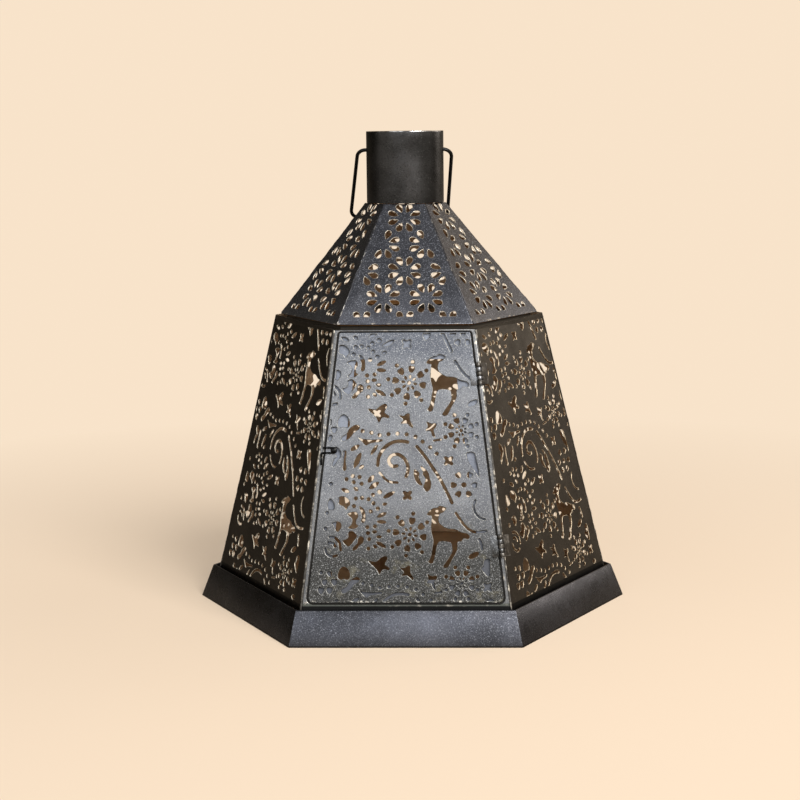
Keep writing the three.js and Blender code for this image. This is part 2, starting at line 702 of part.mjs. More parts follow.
function hinge(name, rise) {
  const group = new THREE.Group();
  const across = hingeInset / Math.cos(bodySide.edgeTilt);
  group.position.set(bodySide.footHalf - rise * Math.tan(bodySide.edgeTilt) - across, rise, 0);
  group.rotation.z = bodySide.edgeTilt;
  const all = Array.from({ length: hingeKnuckles }, (_, index) => index);
  const frameKnuckles = all.filter((index) => index % 2 === 0);
  const doorKnuckles = all.filter((index) => index % 2 === 1);
  group.add(piece(`${name}_door_leaf`, hingeLeaf(doorLeafPlate, doorKnuckles, frameKnuckles), hingeMetal));
  group.add(piece(`${name}_frame_leaf`, hingeLeaf(frameLeafPlate, frameKnuckles, doorKnuckles), hingeMetal));
  group.add(piece(`${name}_pin`, hingePin(), wireMetal));
  return group;
}

// Latch. In its own group the hook's pivot is the origin, X across, Y up the slope, Z outwards.
const keeperHeight = seatGap + latchWireRadius;
const hookHeight = keeperHeight + 2 * latchWireRadius + seatGap;
const pegDrop = hookEyeRadius + 2 * latchWireRadius + seatGap;
const pegX = -hookReach + 2 * latchWireRadius + hookGap;

function latchPivot() {
  const shank = hookEyeRadius - latchWireRadius - hookGap;
  const flangeTop = hookHeight - latchWireRadius - hookGap;
  const headFoot = hookHeight + latchWireRadius + hookGap;
  const headTop = headFoot + pivotHeadThickness;
  return turned([
    [0, seatGap], [pivotFlangeRadius, seatGap], [pivotFlangeRadius, flangeTop], [shank, flangeTop],
    [shank, headFoot], [pivotHeadRadius, headFoot], [pivotHeadRadius * headTaper, headTop], [0, headTop],
  ], rivetSegments);
}

function latchHook() {
  const eye = Array.from({ length: hookEyeSteps + 1 }, (_, k) => {
    const angle = Math.PI / 2 - Math.PI * k / hookEyeSteps;
    return new THREE.Vector3(hookEyeRadius * Math.cos(angle), hookEyeRadius * Math.sin(angle), hookHeight);
  });
  const upperTip = new THREE.Vector3(-hookReach + hookBend, hookEyeRadius, hookHeight);
  const lowerRun = bentRoute([
    new THREE.Vector3(0, -hookEyeRadius, hookHeight),
    new THREE.Vector3(-hookReach, -hookEyeRadius, hookHeight),
    new THREE.Vector3(-hookReach, -hookDrop, hookHeight),
  ], hookBend, latchBendSteps);
  return wire([upperTip, ...eye, ...lowerRun.slice(1)], latchWireRadius, latchWireSides);
}

function latchKeeper() {
  const route = bentRoute([
    new THREE.Vector3(pegX, keeperRise, keeperHeight),
    new THREE.Vector3(pegX, -pegDrop, keeperHeight),
    new THREE.Vector3(pegX, -pegDrop, keeperHeight + keeperPegLength),
  ], keeperBend, latchBendSteps);
  return wire(route, latchWireRadius, latchWireSides);
}

function latch() {
  const group = new THREE.Group();
  const across = hookPivotInset / Math.cos(bodySide.edgeTilt);
  group.position.set(-bodySide.footHalf + latchRise * Math.tan(bodySide.edgeTilt) + across, latchRise, 0);
  group.add(piece("latch_pivot", latchPivot(), hingeMetal));
  group.add(piece("latch_hook", latchHook(), wireMetal));
  group.add(piece("latch_keeper", latchKeeper(), hingeMetal));
  return group;
}

// The lantern put together
const lantern = new THREE.Group();
const sideNames = ["front", "front_right", "back_right", "back", "back_left", "front_left"];
const azimuthOf = (index) => -backAzimuth + index * sixth;

lantern.add(piece("plinth_skirt", plinthSkirt(), plinthPaint));
lantern.add(piece("floor_plate", floorPlate(), innerMetal));
lantern.add(piece("candle_cup", candleCup(), innerMetal));
lantern.add(piece("cup_rivet", cupRivet(), hingeMetal));
lantern.add(piece("eave_ring", eaveRing(), innerMetal));
lantern.add(piece("flue_tube", flueTube(), fluePaint));

sideNames.forEach((name, index) => {
  const body = faceGroup(bodySide, azimuthOf(index));
  if (name === "front") {
    body.tilted.add(piece("door_frame", doorFrame(), outerPaint));
    body.tilted.add(piece("door_panel", pierced(doorOutline(), sideHoles, panelSheet), outerPaint));
    body.tilted.add(hinge("hinge_upper", bodySide.length - hingeHeadInset));
    body.tilted.add(hinge("hinge_lower", hingeLowerRise));
    body.tilted.add(latch());
  } else {
    const outline = trapezoid(bodySide, bodySide.edgeInset, 0, bodySide.length);
    body.tilted.add(piece(`side_panel_${name}`, pierced(outline, sideHoles, panelSheet), outerPaint));
  }
  lantern.add(body.turned);

  const roof = faceGroup(roofSide, azimuthOf(index));
  const roofOutline = trapezoid(roofSide, roofSide.edgeInset, 0, roofSide.length);
  roof.tilted.add(piece(`roof_panel_${name}`, pierced(roofOutline, roofHoles, roofSheet), roofPaint));
  lantern.add(roof.turned);
});

const bail = piece("bail", bailWire(), wireMetal);
bail.position.z = bailPivotHeight;
bail.rotation.x = bailRestAngle();
lantern.add(bail);

export default lantern;
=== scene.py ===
# %% [markdown]
# # A pierced tin lantern
#
# The lantern stands on a flared six-sided plinth. Six sloping sides carry a sloping roof and a flue tube
# with a wire bail. Every side and roof panel is thin sheet, punched with a repeating pattern, and the front
# side is a hinged door with a hook latch.
#
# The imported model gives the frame: where each piece is, and what it moves with. This script makes the
# surfaces that are seen. It works in millimetres and turns them into metres when a mesh is made.

# %% Load the frame
import math

import bmesh
import bpy
import numpy as np
from mathutils import Matrix, Vector
from mathutils.geometry import delaunay_2d_cdt


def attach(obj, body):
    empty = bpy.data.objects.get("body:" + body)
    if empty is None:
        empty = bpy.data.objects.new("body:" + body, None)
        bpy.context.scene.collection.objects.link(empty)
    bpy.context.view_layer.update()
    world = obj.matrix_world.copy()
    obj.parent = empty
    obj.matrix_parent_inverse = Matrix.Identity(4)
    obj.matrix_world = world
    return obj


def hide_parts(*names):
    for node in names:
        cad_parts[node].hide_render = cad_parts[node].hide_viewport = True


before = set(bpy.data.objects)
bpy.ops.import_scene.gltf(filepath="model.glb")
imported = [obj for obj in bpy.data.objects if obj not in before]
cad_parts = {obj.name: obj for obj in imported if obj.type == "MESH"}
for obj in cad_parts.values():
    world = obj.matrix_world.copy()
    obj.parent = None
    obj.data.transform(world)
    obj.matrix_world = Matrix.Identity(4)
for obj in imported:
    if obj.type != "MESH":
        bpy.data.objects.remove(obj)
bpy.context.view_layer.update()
METRES = 0.001
rng = np.random.default_rng(7)

# %% [markdown]
# ## The main sizes
#
# A six-sided body is easiest to describe by its corner radius, which is the distance from the middle axis
# to a corner. Each sloping wall has one corner radius at its foot and one at its head. These are the few
# sizes that everything below is worked out from.

# %% Driving sizes in millimetres
SIXTH = math.pi / 3
CORNER_TO_FLAT = math.cos(SIXTH / 2)

PLINTH_FOOT_RADIUS = 140.2
PLINTH_TOP_RADIUS = 131.6
PLINTH_HEIGHT = 21.2
PLINTH_SHEET = 0.8
HEM_DEPTH = 3.6
FOOT_FLANGE = 7.0

BODY_FOOT_RADIUS = 127.9
BODY_FOOT = 17.6
BODY_HEAD_RADIUS = 86.8
BODY_HEAD = 185.6

ROOF_FOOT_RADIUS = 83.3
ROOF_FOOT = 188.6
ROOF_TOP_RADIUS = 26.2
ROOF_TOP = 259.3

SHEET = 0.8
SEAM = 0.15

FLUE_RADIUS = 24.7
FLUE_SHEET = 0.9
FLUE_FOOT = 259.6
FLUE_TOP = 304.8
FLUE_SHIFT = np.array([-1.3, 0.0, 0.0])

HEAD_LIFT = 2.2
HEAD_MARGIN = 1.2
UP = np.array([0.0, 0.0, 1.0])


# %% A flat side's own plane
def side_heading(index):
    """The level direction that side number index faces, counted round from the front. A half number
    gives the corner between two sides."""
    azimuth = index * SIXTH - math.pi / 2
    return np.array([math.cos(azimuth), math.sin(azimuth), 0.0])


def flat_side(foot_radius, foot, head_radius, head, index):
    """One side's plane. Its origin is the middle of the foot edge. The rows of axes point across the
    side, up its slope and straight out of it."""
    level = side_heading(index)
    lean = math.atan2((foot_radius - head_radius) * CORNER_TO_FLAT, head - foot)
    length = (head - foot) / math.cos(lean)
    up_slope = UP * math.cos(lean) - level * math.sin(lean)
    outwards = level * math.cos(lean) + UP * math.sin(lean)
    return {
        "origin": level * foot_radius * CORNER_TO_FLAT + UP * foot,
        "axes": np.array([np.cross(UP, level), up_slope, outwards]),
        "lean": lean,
        "length": length,
        "foot_half": foot_radius / 2,
        "edge_tilt": math.atan2((foot_radius - head_radius) / 2, length),
        "turn": math.acos(math.cos(lean) ** 2 / 2 + math.sin(lean) ** 2),
    }


def place_on(side, points):
    """A point on a side is the side's origin, plus its three numbers along the side's three axes."""
    return side["origin"] + points @ side["axes"]


def pulled_over(points):
    """The roof's top and the flue stand a little left of the middle. The shift grows up the roof."""
    share = np.clip((points[..., 2:] - ROOF_FOOT) / (ROOF_TOP - ROOF_FOOT), 0, 1)
    return points + FLUE_SHIFT * share


def raised_head(points):
    """The sides' heads rise from the front corners towards the back, where they come close to the roof."""
    front_line = -BODY_HEAD_RADIUS * CORNER_TO_FLAT
    share = np.clip(1 - points[:, 1] / front_line, 0, 1) * (points[:, 2] > BODY_HEAD - HEAD_MARGIN)
    return points + np.outer(share, HEAD_LIFT * UP)


body_sides = [flat_side(BODY_FOOT_RADIUS, BODY_FOOT, BODY_HEAD_RADIUS, BODY_HEAD, k) for k in range(6)]
roof_sides = [flat_side(ROOF_FOOT_RADIUS, ROOF_FOOT, ROOF_TOP_RADIUS, ROOF_TOP, k) for k in range(6)]
front, roof_front = body_sides[0], roof_sides[0]
print("slopes of body and roof", round(front["length"], 1), round(roof_front["length"], 1), "mm")
print("the body's sides lean", round(math.degrees(front["lean"]), 1), "degrees")

# %% [markdown]
# ## The camera
#
# The camera is made first, so that every piece can be compared with the photograph as soon as it exists.
# A long lens stands a little more than a metre away, slightly right of the middle, and looks down a few
# degrees. The picture is turned by about half a degree, as a hand-held one is. An unturned camera looks
# straight down, so it is raised by a right angle less its pitch.

# %% Camera
CAMERA_PLACE = (0.0363, -1.117, 0.3009)
CAMERA_YAW = math.radians(2.18)
CAMERA_PITCH = math.radians(8.64)
CAMERA_ROLL = math.radians(-0.65)
CAMERA_LENS = 77.85
SENSOR_WIDTH = 36.0
NEAREST_SEEN = 0.05

camera = bpy.data.objects.new("camera", bpy.data.cameras.new("camera"))
camera.data.lens = CAMERA_LENS
camera.data.sensor_width = SENSOR_WIDTH
camera.data.clip_start = NEAREST_SEEN
camera.matrix_world = (
    Matrix.Translation(CAMERA_PLACE) @ Matrix.Rotation(CAMERA_YAW, 4, "Z")
    @ Matrix.Rotation(math.pi / 2 - CAMERA_PITCH, 4, "X") @ Matrix.Rotation(CAMERA_ROLL, 4, "Z")
)
bpy.context.collection.objects.link(camera)
bpy.context.scene.camera = camera
print("camera stands", round(Vector(CAMERA_PLACE).length, 2), "m away")

# %% [markdown]
# ## Making meshes
#
# Most pieces here are shells: a grid of points worked out by a formula, with a face between each four
# neighbours. A piece may hold several shells. Faces must point outwards, so each closed shell's volume is
# worked out from its faces, and a shell with a negative volume is turned round.


# %% Grids and shells
SHARP = 35.0
LEAST_CORNER = 0.05


def full_turn(count):
    """Even angles once round, without the last, which is the first again."""
    return np.linspace(0, 2 * math.pi, count, endpoint=False)


def unit(vectors):
    """Vectors divided by their lengths."""
    return vectors / np.linalg.norm(vectors, axis=-1, keepdims=True)


def grid_shell(points, close_rows, close_columns):
    """Faces between the neighbours of a (rows, columns, 3) grid, closed into a loop where asked."""
    rows, columns = points.shape[:2]
    index = np.arange(rows * columns).reshape(rows, columns)
    if close_rows:
        index = np.vstack([index, index[:1]])
    if close_columns:
        index = np.hstack([index, index[:, :1]])
    corners = [index[:-1, :-1], index[:-1, 1:], index[1:, 1:], index[1:, :-1]]
    faces = np.stack([corner.ravel() for corner in corners], axis=1)
    return points.reshape(-1, 3), faces


def shell_volume(points, faces):
    """A sixth of the triple products of each face's triangles, summed over the shell."""
    a, b, c, d = (points[faces[:, k]] for k in range(4))
    first = np.einsum("ij,ij->i", a, np.cross(b, c))
    second = np.einsum("ij,ij->i", a, np.cross(c, d))
    return (first.sum() + second.sum()) / 6


def outward(shell):
    """The same shell, with its faces turned round if they point inwards."""
    points, faces = shell
    return (points, faces[:, ::-1]) if shell_volume(points, faces) < 0 else shell


def make_piece(name, shells, body, nodes=(), crease=SHARP):
    """Joins shells into one mesh, welds their poles, and gives it to a body of the frame."""
    points, faces, start = [], [], 0
    for shell_points, shell_faces in map(outward, shells):
        points.append(shell_points)
        faces.append(shell_faces + start)
        start += len(shell_points)
    mesh = bpy.data.meshes.new(name)
    corners = [list(dict.fromkeys(face)) for face in np.vstack(faces).tolist()]
    mesh.from_pydata((np.vstack(points) * METRES).tolist(), [], corners)
    weld(mesh)
    mesh.polygons.foreach_set("use_smooth", np.ones(len(mesh.polygons), bool))
    mesh.set_sharp_from_angle(angle=math.radians(crease))
    return add_piece(name, mesh, body, nodes)


def weld(mesh):
    """Merges points that lie on each other, such as the ring of points at a pole."""
    work = bmesh.new()
    work.from_mesh(mesh)
    bmesh.ops.remove_doubles(work, verts=work.verts, dist=1e-7)
    bmesh.ops.dissolve_degenerate(work, edges=work.edges, dist=1e-8)
    work.to_mesh(mesh)
    work.free()


def add_piece(name, mesh, body, nodes=()):
    """Puts a finished mesh into the scene, in the frame's place for it."""
    piece = bpy.data.objects.new(name, mesh)
    bpy.context.collection.objects.link(piece)
    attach(piece, body)
    if nodes:
        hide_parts(*nodes)
    return piece


def lathe(profile, steps):
    """Turns (radius, height) points about Z. The profile starts and ends on the axis, or is a loop."""
    radius, height = np.array(profile, float).T
    angle = full_turn(steps)
    points = np.stack([
        np.outer(radius, np.cos(angle)),
        np.outer(radius, np.sin(angle)),
        np.outer(height, np.ones(steps)),
    ], axis=2)
    return grid_shell(points, close_rows=radius.min() > 0, close_columns=True)


def hexagon_ring(profile, fillet, steps=5):
    """Carries a closed (flat distance, height) profile round a hexagon with rounded corners. Each corner
    is an arc whose centre lies on the corner's own line from the axis, so that the arc meets both sides."""
    flat, height = np.array(profile, float).T
    radius = np.maximum(fillet - (flat.max() - flat), LEAST_CORNER)
    corner = np.arange(6) * SIXTH
    swing = np.linspace(-SIXTH / 2, SIXTH / 2, steps + 1)
    heading = (corner[:, None] + swing).ravel()
    towards = np.repeat(corner, steps + 1)
    centre = (flat - radius) / CORNER_TO_FLAT
    x = np.outer(centre, np.cos(towards)) + np.outer(radius, np.cos(heading))
    y = np.outer(centre, np.sin(towards)) + np.outer(radius, np.sin(heading))
    z = np.outer(height, np.ones(len(heading)))
    return grid_shell(np.stack([x, y, z], axis=2), close_rows=True, close_columns=True)


WIRE_END = 0.45
WIRE_END_RING = 0.75
FIRST_ARM = (0.37, 0.61, 0.70)


def wire_shell(path, radius, sides=16):
    """Carries a circle along a path. Each ring's first arm is the last one's, less its part along the
    path, so that the wire doesn't twist. The ends are closed with a small rounded step."""
    along = unit(np.gradient(path, axis=0))
    arm = np.cross(along[0], FIRST_ARM)
    arms = []
    for direction in along:
        arm = unit(arm - direction * (arm @ direction))
        arms.append(arm)
    arms = np.array(arms)
    side = np.cross(along, arms)
    angle = full_turn(sides)[None, :, None]
    ring = radius * (arms[:, None] * np.cos(angle) + side[:, None] * np.sin(angle))
    past = WIRE_END * radius * along
    head = [path[0] - past[0] + share * ring[0] for share in (0, WIRE_END_RING)]
    tail = [path[-1] + past[-1] + share * ring[-1] for share in (WIRE_END_RING, 0)]
    return grid_shell(np.concatenate([head, path[:, None] + ring, tail]), False, True)


def corner_arc(before, corner, after, bend, steps):
    """An arc that rounds a corner and touches both edges, so its middle lies on the line that halves
    the angle between them. A point of it is the middle, plus start times the cosine of the angle gone
    round, plus across times its sine."""
    back, on = unit(before - corner), unit(after - corner)
    half = math.acos(back @ on) / 2
    middle = corner + unit(back + on) * bend / math.sin(half)
    start = corner + back * bend / math.tan(half) - middle
    end = corner + on * bend / math.tan(half) - middle
    sweep = math.pi - 2 * half
    across = (end - start * math.cos(sweep)) / math.sin(sweep)
    angle = np.linspace(0, sweep, steps + 1)[:, None]
    return middle + start * np.cos(angle) + across * np.sin(angle)


def bent(corners, bend, steps=8):
    """A route through corners, with each inner one rounded."""
    corners = np.asarray(corners, float)
    arcs = [corner_arc(*three, bend, steps) for three in zip(corners, corners[1:], corners[2:])]
    return np.vstack([corners[:1], *arcs, corners[-1:]])


def rounded(corners, radii, steps=6):
    """A closed outline with every corner rounded."""
    around = zip(np.roll(corners, 1, axis=0), corners, np.roll(corners, -1, axis=0), radii)
    return np.vstack([corner_arc(*corner_and_radius, steps) for corner_and_radius in around])


# %% [markdown]
# ## Flat outlines
#
# The pattern is punched out of flat sheet, so its holes are flat outlines. Round holes, grains, petals and
# hearts come from short formulas. The animals and leaves are a few points with a smooth curve through
# them. A slot is a smooth line that is given a width and round ends.


# %% Outline formulas
GRAIN_POINT = 1.25
DROP_POINT, DROP_FULLEST = 0.8, 0.81
HEART_HALF, HEART_NARROWING, HEART_SHOULDER, HEART_ACROSS = 0.7, 0.12, 0.42, 1.42
BLOSSOM_WAVE = 0.36


def dot(x, y, radius=1.15, count=12):
    """A circle."""
    angle = full_turn(count)
    return np.stack([x + radius * np.cos(angle), y + radius * np.sin(angle)], axis=1)


def turned_to(points, x, y, angle):
    """Turns an outline by an angle and moves it to (x, y)."""
    cosine, sine = math.cos(angle), math.sin(angle)
    return points @ np.array([[cosine, sine], [-sine, cosine]]) + [x, y]


def grain(x0, y0, x1, y1, width, count=14):
    """An ellipse between two ends. Its half width is the sine of the angle to a power over 1,
    which makes the ends a little pointed."""
    angle = full_turn(count)
    length = math.hypot(x1 - x0, y1 - y0)
    half = np.sign(np.sin(angle)) * np.abs(np.sin(angle)) ** GRAIN_POINT * width / 2
    points = np.stack([np.cos(angle) * length / 2, half], axis=1)
    return turned_to(points, (x0 + x1) / 2, (y0 + y1) / 2, math.atan2(y1 - y0, x1 - x0))


def drop(x, y, angle, inner, outer, width, count=18):
    """A teardrop whose point faces (x, y). Along it runs a cosine, and across it a sine times the sine
    of the half angle, which is nothing at the point and full near the round end."""
    turn = full_turn(count)
    along = (inner + outer) / 2 - np.cos(turn) * (outer - inner) / 2
    across = np.sin(turn) * np.abs(np.sin(turn / 2)) ** DROP_POINT * width / 2 / DROP_FULLEST
    return turned_to(np.stack([along, -across], axis=1), x, y, angle)


def heart(x, y, angle, size, count=20):
    """A rounded heart, size wide, whose point faces -X at angle 0. Across runs a sine that narrows
    towards the point. Along runs a cosine, raised beside the middle of the round end to leave a notch."""
    turn = full_turn(count)
    wide = np.sin(turn) * (HEART_HALF + HEART_NARROWING * np.cos(turn))
    shoulder = HEART_SHOULDER * np.abs(np.sin(turn)) * np.cos(turn / 2) ** 2
    tall = HEART_HALF * np.cos(turn) + shoulder
    return turned_to(np.stack([tall, -wide], axis=1) * size / HEART_ACROSS, x, y, angle)


def blossom(x, y, radius=2.6, count=24):
    """Four petals: the radius swells and shrinks four times on the way round."""
    angle = full_turn(count)
    reach = radius * (1 - BLOSSOM_WAVE * np.cos(4 * angle))
    return np.stack([x + reach * np.cos(angle), y + reach * np.sin(angle)], axis=1)


def curve_through(points, closed, steps):
    """A Catmull-Rom curve: between two points it is a cubic whose slope at each point is half the step
    from the point before to the point after."""
    points = np.asarray(points, float)
    if closed:
        before, start = np.roll(points, 1, axis=0), points
        end, after = np.roll(points, -1, axis=0), np.roll(points, -2, axis=0)
    else:
        padded = np.vstack([2 * points[0] - points[1], points, 2 * points[-1] - points[-2]])
        before, start, end, after = padded[:-3], padded[1:-2], padded[2:-1], padded[3:]
    t = np.linspace(0, 1, steps, endpoint=False)[None, :, None]
    before, start, end, after = (part[:, None] for part in (before, start, end, after))
    cubic = 2 * start + (end - before) * t + (2 * before - 5 * start + 4 * end - after) * t ** 2
    curve = (cubic + (3 * start - before - 3 * end + after) * t ** 3) / 2
    curve = curve.reshape(-1, points.shape[1])
    return curve if closed else np.vstack([curve, points[-1:]])


def shape(points, steps=3):
    """A smooth closed outline through a few points."""
    return curve_through(points, closed=True, steps=steps)


def slot(line, width, steps=4):
    """A slot of even width along a smooth line, with half circles at its ends."""
    line = curve_through(line, closed=False, steps=steps)
    along = unit(np.gradient(line, axis=0))
    normal = np.stack([-along[:, 1], along[:, 0]], axis=1) * width / 2
    turn = np.linspace(0, math.pi, 6)[1:-1, None]
    tail = line[-1] - normal[-1] * np.cos(turn) + along[-1] * np.sin(turn) * width / 2
    head = line[0] + normal[0] * np.cos(turn) - along[0] * np.sin(turn) * width / 2
    return np.vstack([line - normal, tail, (line + normal)[::-1], head])


# %% [markdown]
# ## The punched pattern of the sides
#
# All six sides are cut from the same sheet, which repeats every 91.6 mm up the slope. One repeat holds a
# deer, three birds, a large and a small daisy, a spiral, blossoms, leaves, long curved slots and rows of
# dots. Each group is listed by its place in the repeat: millimetres right of the middle, and up from the
# line where the floor is.

# %% One repeat of the pattern
PATTERN_PITCH = 91.6
PATTERN_FOOT = 4.2

DEER = [
    (13.1, 56.0), (16.0, 58.9), (19.3, 59.7), (20.8, 60.7), (24.5, 59.5), (22.8, 57.2), (20.5, 55.9),
    (19.7, 52.6), (20.7, 50.0), (24.9, 47.3), (29.6, 46.8), (33.6, 44.9), (37.2, 44.1), (38.6, 42.1),
    (37.4, 40.9), (34.9, 41.3), (33.5, 39.6), (31.2, 39.1), (30.9, 34.3), (27.7, 28.4), (25.2, 23.9),
    (22.6, 24.2), (24.1, 26.8), (27.9, 32.6), (28.0, 36.6), (26.7, 39.2), (20.0, 39.3), (18.2, 33.9),
    (16.4, 26.7), (13.6, 27.2), (15.2, 30.0), (16.3, 36.0), (16.9, 39.9), (15.8, 44.6), (15.5, 48.8),
    (16.0, 54.5), (14.2, 55.2),
]
BIRDS = [
    [(-22.4, 27.8), (-17.8, 27.3), (-15.3, 29.3), (-12.3, 30.8), (-10.9, 29.4), (-12.6, 25.8), (-9.8, 23.6),
     (-10.2, 22.4), (-13.8, 22.9), (-15.8, 19.9), (-17.5, 23.0)],
    [(-3.5, 23.9), (-0.7, 23.4), (0.8, 24.7), (2.6, 24.7), (2.8, 21.0), (4.7, 17.4), (3.8, 16.5),
     (1.1, 19.1), (-2.5, 19.0), (-0.9, 21.3)],
    [(13.2, 19.8), (15.6, 18.7), (18.7, 18.9), (18.4, 16.7), (17.1, 15.0), (18.1, 10.6), (16.5, 11.7),
     (15.3, 14.5), (12.5, 14.8), (13.8, 17.0)],
]
LEAVES = [
    [(-30.2, 18.2), (-27.8, 17.6), (-28.0, 15.8), (-31.0, 13.7), (-33.2, 10.9), (-36.6, 8.7), (-38.4, 9.0),
     (-38.3, 11.2), (-35.4, 12.8), (-33.6, 15.8)],
    [(-28.1, 10.7), (-25.6, 9.6), (-19.8, 9.1), (-14.3, 9.4), (-14.6, 8.2), (-20.6, 7.4), (-23.6, 6.0),
     (-25.2, 7.3), (-26.8, 9.0)],
    [(-46.9, 59.5), (-46.9, 62.6), (-45.6, 65.4), (-43.9, 64.2), (-42.7, 61.5), (-43.0, 59.2), (-45.1, 58.8)],
    [(36.8, 92.1), (39.3, 93.2), (41.9, 92.2), (42.9, 87.5), (44.1, 82.6), (44.3, 78.4), (41.5, 82.4),
     (38.5, 86.7)],
    [(45.3, 23.6), (46.7, 24.4), (47.2, 28.1), (49.1, 29.1), (50.7, 27.9), (50.9, 21.9), (50.3, 18.4),
     (47.7, 20.1)],
    [(-35.6, 93.9), (-36.1, 88.0), (-35.6, 83.4), (-37.0, 82.3), (-37.8, 84.4), (-37.3, 89.6), (-37.6, 93.6)],
    [(-43.2, 95.5), (-41.7, 96.6), (-39.9, 95.2), (-38.8, 93.2), (-39.0, 90.6), (-40.8, 88.5), (-43.5, 84.5),
     (-44.0, 86.2), (-42.8, 89.5), (-41.3, 90.8), (-42.8, 92.9)],
]
SCROLLS = [
    [(-40.7, 64.4), (-39.5, 66.5), (-36.9, 66.6), (-34.4, 64.9), (-33.4, 62.3), (-34.7, 60.6), (-35.8, 58.9),
     (-37.1, 60.7), (-39.7, 62.0)],
    [(-34.9, 55.9), (-32.4, 57.2), (-29.4, 57.0), (-28.7, 54.4), (-29.8, 52.6), (-29.8, 49.9), (-28.6, 48.9),
     (-31.0, 47.3), (-34.6, 47.8), (-32.4, 49.9), (-32.1, 53.4)],
    [(-27.8, 60.6), (-25.7, 59.5), (-24.4, 56.9), (-24.3, 52.4), (-25.5, 50.9), (-26.6, 51.7), (-26.0, 54.9),
     (-26.8, 57.6)],
    [(-44.2, 50.7), (-41.9, 51.6), (-39.5, 51.1), (-38.7, 48.9), (-39.6, 46.7), (-41.2, 45.5), (-42.6, 47.3),
     (-43.2, 49.2)],
    [(-37.9, 40.2), (-35.6, 40.9), (-34.4, 42.4), (-34.4, 45.0), (-31.9, 45.8), (-29.4, 42.9), (-30.9, 40.5),
     (-33.6, 37.0), (-35.5, 37.2), (-37.1, 38.7)],
    [(-27.2, 42.7), (-25.3, 41.5), (-25.7, 38.9), (-28.1, 37.0), (-29.5, 35.0), (-31.4, 34.2), (-32.1, 35.0),
     (-30.8, 36.8), (-28.9, 38.6), (-28.6, 40.9)],
    [(-47.5, 20.8), (-46.1, 21.8), (-44.5, 21.2), (-44.8, 18.6), (-46.2, 18.9)],
]
BUTTERFLY = [
    [(5.4, 82.6), (7.0, 82.1), (8.3, 80.4), (8.0, 78.4), (9.2, 75.7), (10.2, 73.4), (8.4, 73.7),
     (6.5, 75.7), (5.3, 78.8)],
    [(9.2, 84.7), (11.4, 83.5), (13.7, 80.9), (14.6, 77.5), (15.5, 74.2), (14.9, 71.1), (13.0, 69.5),
     (11.4, 71.1), (11.0, 72.8), (12.2, 75.9), (12.1, 77.9), (10.6, 79.6), (10.8, 81.3)],
]
HEART_PLACES = [(-48.8, 15.0, 3.4), (-42.9, 15.1, 3.6), (-51.0, 9.9, 3.8), (-45.9, 10.1, 3.8)]
RING_HEARTS = [(32.1, 79.0), (38.6, 79.1), (29.3, 73.3), (41.3, 73.2), (32.1, 68.2), (38.1, 68.2)]
RING_MIDDLE = (35.3, 73.4)
RING_HEART, RING_DOT = 3.3, 1.5
LONE_HEART, LONE_HEART_SIZE = (-37.2, 20.9), 7.4
DAISIES = [
    (2.5, 43.6, -10.0, 8.1, 3.7, 3.7, 1.2, 12.8, (0,)),
    (33.7, 14.5, -22.5, 6.2, 3.1, 2.7, 0.8, 10.2, ()),
]
SLOTS = [
    (1.7, [(7.0, 96.6), (11.1, 91.7), (16.0, 84.6), (21.0, 76.8), (24.9, 69.4), (28.1, 62.7)]),
    (1.4, [(30.4, 56.5), (34.2, 50.7), (38.2, 46.6), (42.6, 45.0), (48.4, 45.6)]),
    (1.1, [(42.2, 64.0), (41.1, 60.4), (42.1, 56.6), (44.5, 53.8), (47.6, 52.6)]),
    (1.2, [(-15.5, 81.0), (-11.8, 76.8), (-8.3, 75.2), (-4.8, 75.0)]),
    (1.5, [(-45.8, 42.4), (-42.3, 41.6), (-39.8, 38.7), (-39.2, 34.6)]),
    (1.4, [(-46.4, 38.8), (-43.9, 38.7), (-42.4, 36.6)]),
    (1.0, [(17.4, 8.6), (21.6, 9.2)]),
    (1.4, [(-48.4, 35.4), (-47.5, 32.4), (-44.6, 30.6), (-41.4, 31.2)]),
    (1.7, [(44.4, 40.6), (45.6, 37.9), (46.1, 34.7)]),
    (1.8, [(-16.6, 85.4), (-15.9, 90.4), (-12.6, 95.9), (-7.5, 99.2), (-2.4, 99.9), (1.5, 99.3)]),
    (1.8, [(-5.0, 85.0), (-7.2, 84.7), (-9.3, 86.1), (-9.9, 88.8), (-8.0, 91.3), (-4.4, 91.9), (-0.9, 89.7),
           (1.4, 85.6), (1.6, 81.9), (0.5, 78.6)]),
]
GRAINS = [
    (-21.7, 71.3, -16.0, 75.2, 2.7), (-22.4, 75.2, -19.0, 79.2, 2.6), (-13.4, 65.8, -6.4, 69.4, 2.4),
    (-38.5, 71.3, -33.9, 69.3, 2.3), (-31.1, 72.1, -28.5, 70.3, 2.1), (-16.9, 54.2, -11.5, 56.8, 2.2),
    (-17.1, 51.6, -11.6, 51.1, 2.1), (-17.7, 39.3, -11.7, 35.9, 2.3), (-19.4, 37.4, -17.3, 35.6, 1.9),
    (-20.2, 45.3, -17.2, 45.4, 1.9), (-17.5, 42.3, -14.4, 42.4, 1.9), (-16.9, 69.2, -14.1, 69.6, 2.6),
    (-13.8, 61.8, -11.1, 62.2, 1.8), (-33.0, 94.5, -27.8, 97.5, 2.5), (-20.8, 91.9, -16.7, 97.6, 2.0),
    (-30.9, 83.9, -26.8, 93.0, 2.9), (-27.6, 83.5, -25.1, 85.3, 2.1), (37.7, 29.4, 44.3, 32.8, 3.2),
    (48.9, 3.6, 53.3, 4.0, 3.0),
]
